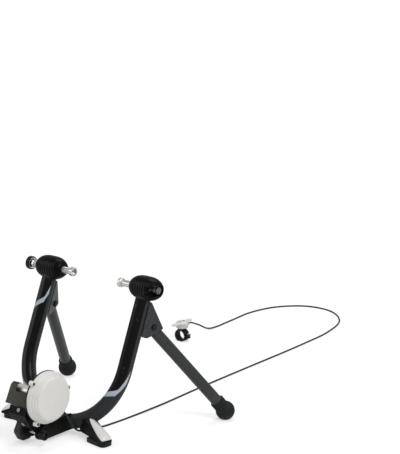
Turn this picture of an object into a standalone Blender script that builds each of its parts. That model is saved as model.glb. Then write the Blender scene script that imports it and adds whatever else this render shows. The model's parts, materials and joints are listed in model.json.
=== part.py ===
"""Wheel-on magnetic bike trainer: a folding U frame that holds a rear axle, and a magnetic roller brake.

Run it in Blender 4.5. Metres, +Z up. The floor is z = 0, +Y is the way the bike faces and +X is its
right side. The pieces are laid out about the bike's rear axle line (y = 0, z = AXLE_HEIGHT) and hang
from one empty, TRAINER, which moves them so that the origin lies under the middle of the footprint.
"""

import math

import bmesh
import bpy
from mathutils import Matrix, Vector

X_AXIS = Vector((1, 0, 0))
Y_AXIS = Vector((0, 1, 0))
Z_AXIS = Vector((0, 0, 1))
ORIGIN = Vector((0, 0, 0))

# Clearances
SEAT_GAP = 0.0003
BOLT_GAP = 0.0003

# U frame: two posts and a round bend, in a plane that leans back
AXLE_HEIGHT = 0.366
POST_SPACING = 0.324
FRAME_TUBE = 0.0381
FRAME_TUBE_WALL = 0.002
FRAME_LEAN = math.radians(23)
FRAME_FLOOR_CLEARANCE = 0.005
SLEEVE_RADIUS = 0.014
SLEEVE_LENGTH = 0.060
SLEEVE_INSET = 0.003
POST_SOCKET_DEPTH = 0.06

# Ribbed clamp heads round the axle sleeves
HEAD_INNER_X = 0.120
HEAD_OUTER_X = 0.206
HEAD_RADIUS = 0.0305
HEAD_END_TAPER = 0.42
HEAD_END_POWER = 3.2
RIB_COUNT = 8
RIB_PITCH = 0.0076
GROOVE_WIDTH = 0.0040
GROOVE_DEPTH = 0.0022
HEAD_RECESS_RADIUS = 0.013
GRIP_NOTCH = 0.0234

# Spindles and cups that hold the axle ends
SPINDLE_RADIUS = 0.0087
CUP_RADIUS = 0.012
CUP_LENGTH = 0.0125
CUP_RECESS_RADIUS = 0.008
CUP_RECESS_DEPTH = 0.008
LEFT_CUP_FACE_X = 0.082
RIGHT_CUP_FACE_X = 0.075
SPINDLE_NOSE_RADIUS = 0.004
SPINDLE_NOSE_LENGTH = 0.003
HANDWHEEL_RADIUS = 0.0175
HANDWHEEL_WIDTH = 0.010
HANDWHEEL_INNER_X = 0.233
HANDWHEEL_STUB_RADIUS = 0.005
PULL_KNOB_RADIUS = 0.010
PULL_KNOB_LENGTH = 0.0175
PULL_CAP_RADIUS = 0.0088
PULL_CAP_LENGTH = 0.0032

# Folding front legs and the channels that hold them
LEG_TUBE = 0.030
LEG_TUBE_WALL = 0.0015
LEG_PIVOT_SLOPE = 0.090
LEG_PIVOT_OFFSET = 0.040
LEG_SPLAY = math.radians(22)
LEG_OPEN_ANGLE = math.radians(60)
LEG_TAIL = 0.009
FOOT_RADIUS = 0.025
FOOT_WEAR = 0.0015
FOOT_COLLAR_RADIUS = 0.0187
FOOT_COLLAR_LENGTH = 0.037
FOOT_TUBE_STOP = 0.012
BRACKET_PLATE = 0.003
BRACKET_SIDE_GAP = 0.0005
BRACKET_ABOVE_PIVOT = 0.060
BRACKET_BELOW_PIVOT = 0.031
BRACKET_LIP = 0.001
LEG_BOLT_RADIUS = 0.004
LEG_BOLT_HEAD = 0.0065
LEG_CAP_RADIUS = 0.0085
LEG_BOLT_HEAD_HEIGHT = 0.005
LEG_BOLT_ENGAGED = 0.003

# Rear stance: brackets under the bend, caps and rubber soles
STANCE_INNER = Vector((0.075, -0.138, 0))
STANCE_TURN = math.radians(-17)
STANCE_WIDTH = 0.028
STANCE_LENGTH = 0.110
STANCE_BASE_Z = 0.012
STANCE_HIGH = 0.050
STANCE_LOW = 0.018
SOLE_TURN = math.radians(-8)
SOLE_LENGTH = 0.064
SOLE_WIDTH = 0.036
SOLE_CENTRE = 0.074
CAP_START = 0.032
CAP_END = 0.109
CAP_NARROW = 0.010
CAP_WIDE = 0.030
CAP_EDGE = 0.002
CAP_CROWN = 0.006

# Brake unit: roller, leaning housing, brake disc case
ROLLER_Y = -0.253
ROLLER_Z = 0.127
ROLLER_RADIUS = 0.015
SHAFT_RADIUS = 0.004
SHAFT_LEFT_X = -0.044
SHAFT_RIGHT_X = 0.071
BUSH_RADIUS = 0.006
BUSH_FLANGE_RADIUS = 0.009
BUSH_FLANGE = 0.004
BUSH_LENGTH = 0.006
HOUSING_LEAN = math.radians(26.5)
HOUSING_LEFT_X = -0.042
HOUSING_RIGHT_X = 0.040
HOUSING_SHEET = 0.0025
HOUSING_BACK = 0.027
HOUSING_TOP = 0.0165
HOUSING_BOTTOM = 0.0403
WINDOW_LEFT_X = -0.022
WINDOW_SILL = 0.0068
TONGUE_DROP = 0.0175
CASE_RADIUS = 0.065
CASE_FACE_X = 0.086
CASE_BACK_X = 0.0553
CASE_WALL = 0.0028
BACK_PLATE_LIP = 0.001
BACK_PLATE_THICKNESS = 0.0035
BACK_PLATE_BOSS_RADIUS = 0.020
LUG_ANGLES = (math.radians(136), math.radians(236), math.radians(6))
LUG_RADIUS = 0.0065
LUG_OFFSET = 0.0045
LUG_LENGTH = 0.012
CASE_SCREW_RADIUS = 0.002
CASE_SCREW_HEAD = 0.0036
CASE_SCREW_HEAD_HEIGHT = 0.0022
ROTOR_RADIUS = 0.052
ROTOR_THICKNESS = 0.004
ROTOR_X = 0.061
ROTOR_HUB_RADIUS = 0.010
ROTOR_HUB_LENGTH = 0.004
MAGNET_COUNT = 6
MAGNET_RADIUS = 0.007
MAGNET_THICKNESS = 0.005
MAGNET_CIRCLE = 0.038
MAGNET_PLATE_RADIUS = 0.048
MAGNET_PLATE_THICKNESS = 0.0025
MAGNET_AIR_GAP = 0.0027
SPIGOT_RADIUS = 0.0077
GLAND_ANGLE = math.radians(-45)
GLAND_X = 0.064
GLAND_RADIUS = 0.005
GLAND_LENGTH = 0.0147

# Swing pivot: bracket, base arm, clamp knob
PIVOT_Y = -0.260
PIVOT_Z = 0.0285
PIVOT_BOLT_RADIUS = 0.004
SWING_LEFT_X = 0.001
SWING_RIGHT_X = 0.038
SWING_SHEET = 0.003
SWING_EYE_RADIUS = 0.013
SWING_WALL_LEFT_X = -0.020
SWING_FOOT_BEHIND = 0.0285
SWING_FOOT_RISE = 0.0225
BASE_SHEET = 0.003
BASE_EYE_RADIUS = 0.0135
BASE_ARM_LOW_Z = 0.010
BASE_ARM_TOP_Z = 0.052
BASE_WEB_END_Y = -0.222
KNOB_RADIUS = 0.027
KNOB_LOBES = 6
KNOB_LOBE_DEPTH = 0.0022
KNOB_THICKNESS = 0.024
KNOB_RIM = 0.002
KNOB_BOSS_RADIUS = 0.009
PIVOT_NUT_RADIUS = 0.012
PIVOT_NUT_LENGTH = 0.0185
PIVOT_NUT_RECESS = 0.0065
PIVOT_NUT_RECESS_RADIUS = 0.006
HOUSING_BOLT_RADIUS = 0.003
HOUSING_BOLT_HEAD = 0.0052
HOUSING_BOLT_X = 0.013

# Remote lever on its handlebar clamp, lying on the floor at the cable's end
REMOTE_PLACE = Vector((-0.235, 0.620, 0))
BAR_DIAMETER = 0.0318
REMOTE_CLAMP_WALL = 0.0036
REMOTE_CLAMP_WIDTH = 0.022
REMOTE_CLAMP_FLAT = 0.002
REMOTE_EAR = 0.012
REMOTE_EAR_LENGTH = 0.009
REMOTE_SPLIT = 0.0016
REMOTE_BODY_RADIUS = 0.019
REMOTE_BODY_HEIGHT = 0.012
REMOTE_BARREL_RADIUS = 0.0045
REMOTE_BARREL_END = 0.032
REMOTE_LEVER_RADIUS = 0.018
REMOTE_LEVER_HEIGHT = 0.008
REMOTE_LEVER_SPAN = 0.086
REMOTE_WING_WIDTH = 0.014
REMOTE_WING_HEIGHT = 0.005

# Resistance cable, a loose cord from the brake case to the remote lever
CABLE_DIAMETER = 0.005
CABLE_STEP = 0.014
CABLE_FLOOR_STEP = 0.042
CABLE_START_RUN = 0.22
CABLE_END_RUN = 0.17
CABLE_FLOOR_GAP = 0.0002

# Round pieces
FINE = 30
ROUND = 18
SMALL = 10

# Frame plane: DOWN runs along the posts, AHEAD stands square to the frame plane
DOWN = Vector((0, -math.sin(FRAME_LEAN), -math.cos(FRAME_LEAN)))
AHEAD = Vector((0, math.cos(FRAME_LEAN), -math.sin(FRAME_LEAN)))
POST_X = POST_SPACING / 2
TUBE_RADIUS = FRAME_TUBE / 2
BEND_SLOPE = (AXLE_HEIGHT - FRAME_FLOOR_CLEARANCE - TUBE_RADIUS) / math.cos(FRAME_LEAN)
POST_LENGTH = BEND_SLOPE - POST_X

BACK_PLATE_RADIUS = CASE_RADIUS + BACK_PLATE_LIP

# Housing plane: UP_WALL runs up the leaning rear wall, INTO points forward through it
UP_WALL = Vector((0, math.sin(HOUSING_LEAN), math.cos(HOUSING_LEAN)))
INTO = Vector((0, math.cos(HOUSING_LEAN), -math.sin(HOUSING_LEAN)))
ROLLER = Vector((0, ROLLER_Y, ROLLER_Z))
PIVOT = Vector((0, PIVOT_Y, PIVOT_Z))
AXLE = Vector((0, 0, AXLE_HEIGHT))

# Colour, roughness and metallic of each material
LOOKS = {
    "graphite_paint": ((0.055, 0.058, 0.062), 0.42, 0.15),
    "black_paint": ((0.018, 0.018, 0.020), 0.45, 0.10),
    "black_plastic": ((0.014, 0.014, 0.016), 0.55, 0.0),
    "white_plastic": ((0.74, 0.73, 0.70), 0.45, 0.0),
    "grey_plate": ((0.095, 0.090, 0.082), 0.50, 0.20),
    "rubber": ((0.020, 0.021, 0.023), 0.85, 0.0),
    "steel": ((0.60, 0.60, 0.60), 0.30, 1.0),
    "aluminium": ((0.72, 0.72, 0.70), 0.38, 1.0),
    "dark_steel": ((0.16, 0.17, 0.18), 0.40, 0.8),
    "magnet_nickel": ((0.50, 0.49, 0.46), 0.30, 1.0),
    "pale_plastic": ((0.52, 0.52, 0.54), 0.45, 0.0),
    "cable_jacket": ((0.050, 0.052, 0.055), 0.60, 0.0),
}


def clear_scene():
    """Take every object out of the open file."""
    for obj in list(bpy.data.objects):
        bpy.data.objects.remove(obj, do_unlink=True)


def look(name):
    """The named material, made once."""
    material = bpy.data.materials.get(name)
    if material is None:
        colour, roughness, metallic = LOOKS[name]
        material = bpy.data.materials.new(name)
        material.use_nodes = True
        shader = material.node_tree.nodes["Principled BSDF"]
        shader.inputs["Base Color"].default_value = (*colour, 1)
        shader.inputs["Roughness"].default_value = roughness
        shader.inputs["Metallic"].default_value = metallic
    return material


def solid(name, verts, faces, material="black_plastic", sharp=35):
    """A mesh object from points and faces, its faces turned outwards."""
    mesh = bpy.data.meshes.new(name)
    mesh.from_pydata([tuple(v) for v in verts], [], faces)
    work = bmesh.new()
    work.from_mesh(mesh)
    bmesh.ops.recalc_face_normals(work, faces=work.faces)
    work.to_mesh(mesh)
    work.free()
    obj = bpy.data.objects.new(name, mesh)
    bpy.context.collection.objects.link(obj)
    mesh.materials.append(look(material))
    mesh.shade_smooth()
    mesh.set_sharp_from_angle(angle=math.radians(sharp))
    return obj


def square_to(axis):
    """Two unit vectors square to the axis and to each other."""
    side = Z_AXIS if abs(axis.dot(Z_AXIS)) < 0.9 else Y_AXIS
    u = side.cross(axis).normalized()
    return u, axis.cross(u).normalized()


def lathe(name, profile, centre, axis, material="black_plastic", segments=ROUND):
    """Turn (along, radius) points about an axis. A point of radius 0 closes the ring beside it."""
    axis = axis.normalized()
    u, v = square_to(axis)
    verts = []
    rings = []
    for along, radius in profile:
        if radius == 0:
            rings.append(None)
            continue
        middle = centre + axis * along
        rings.append(list(range(len(verts), len(verts) + segments)))
        for k in range(segments):
            turn = 2 * math.pi * k / segments
            verts.append(middle + (u * math.cos(turn) + v * math.sin(turn)) * radius)
    pairs = list(zip(rings, rings[1:]))
    if profile[0][1] > 0:
        pairs.append((rings[-1], rings[0]))
    faces = []
    for a, b in pairs:
        if a is None or b is None:
            faces += [list(end) for end in (a, b) if end]
            continue
        for k in range(segments):
            n = (k + 1) % segments
            faces.append([a[k], a[n], b[n], b[k]])
    return solid(name, verts, faces, material)


def rod(name, centre, axis, start, end, radius, material="black_plastic", segments=SMALL):
    """A plain cylinder from start to end along the axis."""
    profile = [(start, 0), (start, radius), (end, radius), (end, 0)]
    return lathe(name, profile, centre, axis, material, segments)


def ring(name, centre, axis, start, end, outer, bore, material="black_plastic", segments=ROUND):
    """A cylinder with a bore."""
    profile = [(start, bore), (start, outer), (end, outer), (end, bore)]
    return lathe(name, profile, centre, axis, material, segments)


def plate(name, outline, origin, u, v, w, low, high, material="black_plastic"):
    """Extrude an outline in the u, v plane from low to high along w."""
    count = len(outline)
    verts = [origin + u * a + v * b + w * low for a, b in outline]
    verts += [origin + u * a + v * b + w * high for a, b in outline]
    faces = [list(range(count)), list(range(count, 2 * count))]
    for k in range(count):
        n = (k + 1) % count
        faces.append([k, n, count + n, count + k])
    return solid(name, verts, faces, material)


def rounded(corners, steps=4):
    """An outline from (a, b, radius) corners, each rounded by a short arc."""
    outline = []
    count = len(corners)
    for k, (a, b, radius) in enumerate(corners):
        here = Vector((a, b))
        back = (Vector(corners[k - 1][:2]) - here).normalized()
        ahead = (Vector(corners[(k + 1) % count][:2]) - here).normalized()
        if radius == 0:
            outline.append((a, b))
            continue
        half = back.angle(ahead) / 2
        centre = here + (back + ahead).normalized() * (radius / math.sin(half))
        first = here + back * (radius / math.tan(half)) - centre
        last = here + ahead * (radius / math.tan(half)) - centre
        sweep = first.angle_signed(last)
        for i in range(steps + 1):
            turn = -sweep * i / steps
            spoke = Matrix.Rotation(turn, 2) @ first
            outline.append(tuple(centre + spoke))
    return outline


def eye(centre, radius, start, end, steps=10):
    """Points round an eye of a lever or bracket, from one angle to another, in degrees."""
    points = []
    for i in range(steps + 1):
        turn = math.radians(start + (end - start) * i / steps)
        points.append((centre[0] + radius * math.cos(turn), centre[1] + radius * math.sin(turn)))
    return points


def merge(obj, other, operation):
    """Apply a Boolean of other to obj, and remove other."""
    modifier = obj.modifiers.new(operation.title(), "BOOLEAN")
    modifier.operation = operation
    modifier.object = other
    with bpy.context.temp_override(object=obj, active_object=obj, selected_objects=[obj]):
        bpy.ops.object.modifier_apply(modifier=modifier.name)
    bpy.data.objects.remove(other, do_unlink=True)


def cut(obj, *cutters):
    """Take the cutters' shapes out of an object."""
    for cutter in cutters:
        merge(obj, cutter, "DIFFERENCE")
    return obj


def join(obj, *others):
    """Weld other shapes to an object."""
    for other in others:
        merge(obj, other, "UNION")
    obj.data.set_sharp_from_angle(angle=math.radians(35))
    return obj


def square(half):
    """The outline of a square block, for cutting."""
    return [(-half, -half), (half, -half), (half, half), (-half, half)]


def on_post(side, slope):
    """The point on a post's centre line at a distance down the slope from the axle line."""
    return Vector((side * POST_X, 0, AXLE_HEIGHT)) + DOWN * slope


def frame_path(bend_steps=16):
    """The U frame's centre line, from the left post's top to the right post's top."""
    path = [on_post(-1, 0)]
    for k in range(bend_steps + 1):
        turn = math.pi * k / bend_steps
        x = -POST_X * math.cos(turn)
        path.append(Vector((x, 0, AXLE_HEIGHT)) + DOWN * (POST_LENGTH + POST_X * math.sin(turn)))
    path.append(on_post(1, 0))
    return path


def pipe(name, path, square, outer, bore, material, segments=16):
    """A tube along a flat path, square to the vector `square`. A bore of 0 makes it solid."""
    verts = []
    layers = []
    for radius in (outer, bore):
        if radius == 0:
            continue
        rings = []
        for k, point in enumerate(path):
            ahead = path[min(k + 1, len(path) - 1)] - path[max(k - 1, 0)]
            across = ahead.normalized().cross(square).normalized()
            rings.append(list(range(len(verts), len(verts) + segments)))
            for i in range(segments):
                turn = 2 * math.pi * i / segments
                verts.append(point + (across * math.cos(turn) + square * math.sin(turn)) * radius)
        layers.append(rings)
    faces = []
    for rings in layers:
        for a, b in zip(rings, rings[1:]):
            for i in range(segments):
                n = (i + 1) % segments
                faces.append([a[i], a[n], b[n], b[i]])
    for end in (0, -1):
        if bore == 0:
            faces.append(list(layers[0][end]))
            continue
        a, b = layers[0][end], layers[1][end]
        for i in range(segments):
            n = (i + 1) % segments
            faces.append([a[i], a[n], b[n], b[i]])
    return solid(name, verts, faces, material)


def frame_cutter():
    """The U frame's outside with the seat gap round it, to cut what rests against the tube."""
    return pipe("frame_cutter", frame_path(), AHEAD, TUBE_RADIUS + SEAT_GAP, 0, "black_paint")


def sleeve_span():
    """Where an axle sleeve starts and ends, counted outwards from the middle plane."""
    start = HEAD_INNER_X + SLEEVE_INSET
    return start, start + SLEEVE_LENGTH


def make_u_frame():
    """The bent tube with an axle sleeve welded across the top of each post."""
    inside = TUBE_RADIUS - FRAME_TUBE_WALL
    frame = pipe("u_frame", frame_path(), AHEAD, TUBE_RADIUS, inside, "graphite_paint")
    start, end = sleeve_span()
    bore = SPINDLE_RADIUS + SEAT_GAP
    for side in (-1, 1):
        join(frame, rod("sleeve", AXLE, X_AXIS * side, start, end, SLEEVE_RADIUS, segments=ROUND))
    for side in (-1, 1):
        cut(frame, rod("bore", AXLE, X_AXIS * side, start - 0.01, end + 0.01, bore, segments=ROUND))
    return frame


def head_profile():
    """Half outline of a clamp head: domed ends and V grooves that leave the ribs standing."""
    middle = (HEAD_INNER_X + HEAD_OUTER_X) / 2
    half = (HEAD_OUTER_X - HEAD_INNER_X) / 2

    def radius(along):
        return HEAD_RADIUS * (1 - HEAD_END_TAPER * abs(along / half) ** HEAD_END_POWER)

    ribbed = RIB_COUNT * RIB_PITCH / 2
    stations = [(t, 0) for t in (-half, -half * 0.93, -half * 0.84, -half * 0.74)]
    for k in range(RIB_COUNT):
        centre = -ribbed + (k + 0.5) * RIB_PITCH
        edge = GROOVE_WIDTH / 2
        stations += [(centre - edge, 0), (centre, GROOVE_DEPTH), (centre + edge, 0)]
    stations += [(t, 0) for t in (half * 0.74, half * 0.84, half * 0.93, half)]
    outline = [(middle + t, radius(t) - depth) for t, depth in stations]
    return [(outline[0][0], 0)] + outline + [(outline[-1][0], 0)]


def make_clamp_head(side, word):
    """One side's casing, as a front and a rear shell that close round the sleeve and the post's top."""
    axis = X_AXIS * side
    start, end = sleeve_span()
    pocket = SLEEVE_RADIUS + SEAT_GAP
    bore = SPINDLE_RADIUS + 2 * SEAT_GAP
    mouth = HEAD_RECESS_RADIUS if side > 0 else bore
    before = HEAD_INNER_X - 0.01
    past = HEAD_OUTER_X + 0.01
    hollow = [(before, 0), (before, bore), (start - SEAT_GAP, bore), (start - SEAT_GAP, pocket),
              (end + SEAT_GAP, pocket), (end + SEAT_GAP, mouth), (past, mouth), (past, 0)]
    reach = 2 * HEAD_OUTER_X
    shells = []
    for name, way in (("front", 1), ("rear", -1)):
        shell = lathe(f"{word}_clamp_shell_{name}", head_profile(), AXLE, axis)
        cut(shell, lathe("hollow", hollow, AXLE, axis, segments=FINE))
        cut(shell, rod("post_bore", on_post(side, 0), DOWN, -SEAT_GAP, POST_SOCKET_DEPTH, TUBE_RADIUS + SEAT_GAP,
                       segments=ROUND))
        half = plate("half", square(reach), AXLE, X_AXIS, DOWN, AHEAD * way, SEAT_GAP / 2, reach)
        merge(shell, half, "INTERSECT")
        if side > 0:
            notch = [(end + SEAT_GAP, -GRIP_NOTCH / 2), (past, -GRIP_NOTCH / 2), (past, GRIP_NOTCH / 2),
                     (end + SEAT_GAP, GRIP_NOTCH / 2)]
            cut(shell, plate("grip_notch", notch, AXLE, X_AXIS, Z_AXIS, -Y_AXIS, 0, 2 * HEAD_RADIUS))
        shell.data.set_sharp_from_angle(angle=math.radians(35))
        shells.append(shell)
    return shells


def cup(name, side, face, material):
    """A cup that an axle end sits in, open towards the wheel, on the spindle's nose."""
    back = face + CUP_LENGTH
    floor = face + CUP_RECESS_DEPTH
    nose = SPINDLE_NOSE_RADIUS + SEAT_GAP
    profile = [(back, nose), (back, CUP_RADIUS), (face + 0.001, CUP_RADIUS), (face, CUP_RADIUS - 0.001),
               (face, CUP_RECESS_RADIUS), (floor, CUP_RECESS_RADIUS), (floor, nose)]
    return lathe(name, profile, AXLE, X_AXIS * side, material)


def spindle(name, side, cup_face, outer_end, stub):
    """A spindle from the cup's back to its outer end, with a nose and a thinner outer stub."""
    start = cup_face + CUP_LENGTH + SEAT_GAP
    nose_tip = start - SPINDLE_NOSE_LENGTH
    profile = [(nose_tip, 0), (nose_tip, SPINDLE_NOSE_RADIUS), (start, SPINDLE_NOSE_RADIUS),
               (start, SPINDLE_RADIUS), (outer_end, SPINDLE_RADIUS), (outer_end, HANDWHEEL_STUB_RADIUS),
               (outer_end + stub, HANDWHEEL_STUB_RADIUS), (outer_end + stub, 0)]
    return lathe(name, profile, AXLE, X_AXIS * side, "steel")


def make_left_clamp():
    """The threaded spindle with its handwheel, and the cup that it pushes."""
    wheel_out = HANDWHEEL_INNER_X + HANDWHEEL_WIDTH
    bore = HANDWHEEL_STUB_RADIUS + SEAT_GAP
    rim = HANDWHEEL_RADIUS
    face = HANDWHEEL_INNER_X + SEAT_GAP
    profile = [(face, bore), (face, rim - 0.005), (face + 0.002, rim - 0.0045), (face, rim - 0.003),
               (face + 0.0012, rim), (wheel_out - 0.0012, rim), (wheel_out, rim - 0.0015), (wheel_out, bore)]
    return (cup("left_axle_cup", -1, LEFT_CUP_FACE_X, "steel"),
            [spindle("left_spindle", -1, LEFT_CUP_FACE_X, HANDWHEEL_INNER_X, HANDWHEEL_WIDTH - 0.001),
             lathe("left_handwheel", profile, AXLE, -X_AXIS, "black_plastic")])


def make_right_clamp():
    """The sprung pull spindle of the other side: cup, spindle, knob in the head's recess and its end cap."""
    knob_in = sleeve_span()[1] + 2 * SEAT_GAP
    knob_out = knob_in + PULL_KNOB_LENGTH
    bore = HANDWHEEL_STUB_RADIUS + SEAT_GAP
    knob = [(knob_in, bore), (knob_in, PULL_KNOB_RADIUS), (knob_out - 0.004, PULL_KNOB_RADIUS),
            (knob_out - 0.003, PULL_KNOB_RADIUS - 0.001), (knob_out - 0.001, PULL_KNOB_RADIUS - 0.001),
            (knob_out, PULL_KNOB_RADIUS - 0.0002), (knob_out, bore)]
    cap_in = knob_out + SEAT_GAP
    cap_out = cap_in + PULL_CAP_LENGTH
    cap = [(cap_in, 0), (cap_in, PULL_CAP_RADIUS), (cap_out - 0.001, PULL_CAP_RADIUS),
           (cap_out, PULL_CAP_RADIUS - 0.001), (cap_out, 0)]
    return [cup("right_axle_cup", 1, RIGHT_CUP_FACE_X, "aluminium"),
            spindle("right_spindle", 1, RIGHT_CUP_FACE_X, knob_in - SEAT_GAP, PULL_KNOB_LENGTH),
            lathe("right_pull_knob", knob, AXLE, X_AXIS, "dark_steel"),
            lathe("right_knob_cap", cap, AXLE, X_AXIS, "steel")]


class LegFrame:
    """Directions and points of one leg: `out` runs from post to pivot, `normal` along the fold axis."""

    def __init__(self, side):
        self.side = side
        self.out = AHEAD * math.cos(LEG_SPLAY) + X_AXIS * side * math.sin(LEG_SPLAY)
        self.normal = DOWN.cross(self.out) * side
        self.way = DOWN * math.cos(LEG_OPEN_ANGLE) + self.out * math.sin(LEG_OPEN_ANGLE)
        self.root = on_post(side, 0)
        self.pivot = on_post(side, LEG_PIVOT_SLOPE) + self.out * LEG_PIVOT_OFFSET
        self.length = (self.pivot.z - (FOOT_RADIUS - FOOT_WEAR)) / -self.way.z
        self.foot = self.pivot + self.way * self.length


def bracket_half_width():
    return LEG_TUBE / 2 + BRACKET_SIDE_GAP


def make_leg_bracket(leg, word):
    """The channel that holds a leg: two cheeks and the web that is welded to the post's front."""
    pivot = Vector((LEG_PIVOT_SLOPE, LEG_PIVOT_OFFSET))
    along = Vector((math.cos(LEG_OPEN_ANGLE), math.sin(LEG_OPEN_ANGLE)))
    across = Vector((-along.y, along.x))
    half = LEG_TUBE / 2 + BRACKET_LIP
    upper = pivot + along * 0.022 + across * half
    lower = pivot + along * 0.012 - across * half
    top = LEG_PIVOT_SLOPE - BRACKET_ABOVE_PIVOT
    bottom = LEG_PIVOT_SLOPE + BRACKET_BELOW_PIVOT
    rear = TUBE_RADIUS - 0.007
    corners = [(top, rear, 0.002), (bottom, rear, 0.004), (bottom, rear + 0.016, 0.006),
               (lower.x, lower.y, 0.003), (upper.x, upper.y, 0.004), (top + 0.003, rear + 0.006, 0.002)]
    outline = rounded(corners, 3)
    inner = bracket_half_width()
    outer = inner + BRACKET_PLATE
    bracket = plate(f"{word}_leg_bracket", outline, leg.root, DOWN, leg.out, leg.normal, inner, outer,
                    "graphite_paint")
    web_low = TUBE_RADIUS + SEAT_GAP
    middle = inner + BRACKET_PLATE / 2
    web = [(top + 0.008, -middle), (bottom - 0.003, -middle), (bottom - 0.003, middle), (top + 0.008, middle)]
    join(bracket, plate("web", web, leg.root, DOWN, leg.normal, leg.out, web_low, web_low + BRACKET_PLATE))
    join(bracket, plate("cheek", outline, leg.root, DOWN, leg.out, leg.normal, -outer, -inner))
    hole = LEG_BOLT_RADIUS + BOLT_GAP
    return cut(bracket, rod("hole", leg.pivot, leg.normal, -outer - 0.01, outer + 0.01, hole))


def make_leg_fasteners(leg, word):
    """The pivot bolt with its hexagon head outside, and the round cap nut inside."""
    face = bracket_half_width() + BRACKET_PLATE + SEAT_GAP
    head = rod(f"{word}_leg_bolt", leg.pivot, leg.normal, face, face + LEG_BOLT_HEAD_HEIGHT, LEG_BOLT_HEAD,
               "dark_steel", 6)
    join(head, rod("shank", leg.pivot, leg.normal, -face - LEG_BOLT_ENGAGED, face + 0.001, LEG_BOLT_RADIUS))
    bore = LEG_BOLT_RADIUS + BOLT_GAP
    floor = face + LEG_BOLT_ENGAGED + SEAT_GAP
    top = face + LEG_BOLT_HEAD_HEIGHT
    profile = [(face, bore), (face, LEG_CAP_RADIUS), (top - 0.0015, LEG_CAP_RADIUS),
               (top, LEG_CAP_RADIUS - 0.0015), (top, 0), (floor, 0), (floor, bore)]
    return [head, lathe(f"{word}_leg_bolt_cap", profile, leg.pivot, -leg.normal)]


def make_leg(leg, word):
    """A leg tube, and the rubber foot drawn over its end and worn flat on the floor."""
    radius = LEG_TUBE / 2
    tube_end = leg.length - FOOT_TUBE_STOP
    tube = ring(f"{word}_leg_tube", leg.pivot, leg.way, -LEG_TAIL, tube_end, radius, radius - LEG_TUBE_WALL,
                "graphite_paint")
    cut(tube, rod("hole", leg.pivot, leg.normal, -radius - 0.01, radius + 0.01, LEG_BOLT_RADIUS + BOLT_GAP))
    bore = radius + SEAT_GAP
    floor = tube_end + SEAT_GAP
    collar_end = leg.length - FOOT_COLLAR_LENGTH
    collar = FOOT_COLLAR_RADIUS
    profile = [(collar_end, bore), (collar_end, collar), (collar_end + 0.005, collar + 0.0008),
               (collar_end + 0.007, collar), (leg.length - 0.022, collar)]
    for degrees in (-48, -24, 2, 28, 50, 72):
        turn = math.radians(degrees)
        profile.append((leg.length + FOOT_RADIUS * math.sin(turn), FOOT_RADIUS * math.cos(turn)))
    profile += [(leg.length + FOOT_RADIUS, 0), (floor, 0), (floor, bore)]
    foot = lathe(f"{word}_leg_foot", profile, leg.pivot, leg.way, "rubber")
    reach = 2 * FOOT_RADIUS
    under = Vector((leg.foot.x, leg.foot.y, 0))
    return [tube, cut(foot, plate("floor", square(reach), under, X_AXIS, Y_AXIS, Z_AXIS, -reach, 0))]


class Stance:
    """One rear corner: `along` runs out and back from under the bend, `across` is square to it."""

    def __init__(self, side):
        self.along = Vector((side * math.cos(STANCE_TURN), math.sin(STANCE_TURN), 0))
        self.across = Z_AXIS.cross(self.along)
        self.sole_along = Vector((side * math.cos(SOLE_TURN), math.sin(SOLE_TURN), 0))
        self.sole_across = Z_AXIS.cross(self.sole_along)
        self.origin = Vector((side * STANCE_INNER.x, STANCE_INNER.y, 0))

    def top(self, distance):
        """Height of the sloping top edge above the floor."""
        share = (distance - CAP_START) / (STANCE_LENGTH - CAP_START)
        return STANCE_HIGH + (STANCE_LOW - STANCE_HIGH) * share


def make_stance(side, word):
    """The rear bracket that carries the bend, its white cap and its rubber sole."""
    stance = Stance(side)
    half = STANCE_WIDTH / 2
    base = STANCE_BASE_Z
    corners = [(0, base, 0.002), (STANCE_LENGTH, base, 0.002), (STANCE_LENGTH, STANCE_LOW, 0.002),
               (CAP_START, STANCE_HIGH, 0.008), (0.008, STANCE_HIGH - 0.003, 0.006),
               (0, STANCE_HIGH * 0.6, 0.004)]
    bracket = plate(f"{word}_rear_bracket", rounded(corners, 3), stance.origin, stance.along, Z_AXIS,
                    stance.across, -half, half)
    cut(bracket, frame_cutter())

    rows = 7
    columns = 8
    verts = []
    for i in range(rows + 1):
        share = i / rows
        distance = CAP_START + (CAP_END - CAP_START) * share
        ease = math.sin(math.pi * min(share + 0.12, 1 - share * 0.12) * 0.5)
        wide = (CAP_NARROW + (CAP_WIDE - CAP_NARROW) * math.sin(share * math.pi / 2) ** 0.8) / 2
        middle = stance.origin + stance.along * distance
        low = stance.top(distance) + SEAT_GAP
        verts.append(middle - stance.across * wide + Z_AXIS * low)
        for j in range(columns + 1):
            place = 2 * j / columns - 1
            high = low + CAP_EDGE + CAP_CROWN * ease * (1 - abs(place))
            verts.append(middle + stance.across * wide * place + Z_AXIS * high)
        verts.append(middle + stance.across * wide + Z_AXIS * low)
    loop = columns + 3
    faces = [list(range(loop)), list(range(rows * loop, (rows + 1) * loop))]
    for i in range(rows):
        for j in range(loop):
            n = (j + 1) % loop
            faces.append([i * loop + j, i * loop + n, (i + 1) * loop + n, (i + 1) * loop + j])
    cap = cut(solid(f"{word}_foot_cap", verts, faces, "white_plastic"), frame_cutter())

    long = SOLE_LENGTH / 2
    wide = SOLE_WIDTH / 2
    middle = stance.origin + stance.along * SOLE_CENTRE
    corners = [(-long, -wide, 0.006), (long, -wide, 0.012), (long, wide, 0.012), (-long, wide, 0.006)]
    sole = plate(f"{word}_rear_sole", rounded(corners, 4), middle, stance.sole_along, stance.sole_across,
                 Z_AXIS, 0, STANCE_BASE_Z - SEAT_GAP, "rubber")
    return [bracket, cap, sole]


def at_roller(up, into):
    """A point in the housing's leaning frame, counted from the roller's axis, as (y, z)."""
    point = ROLLER + UP_WALL * up + INTO * into
    return point.y, point.z


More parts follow.
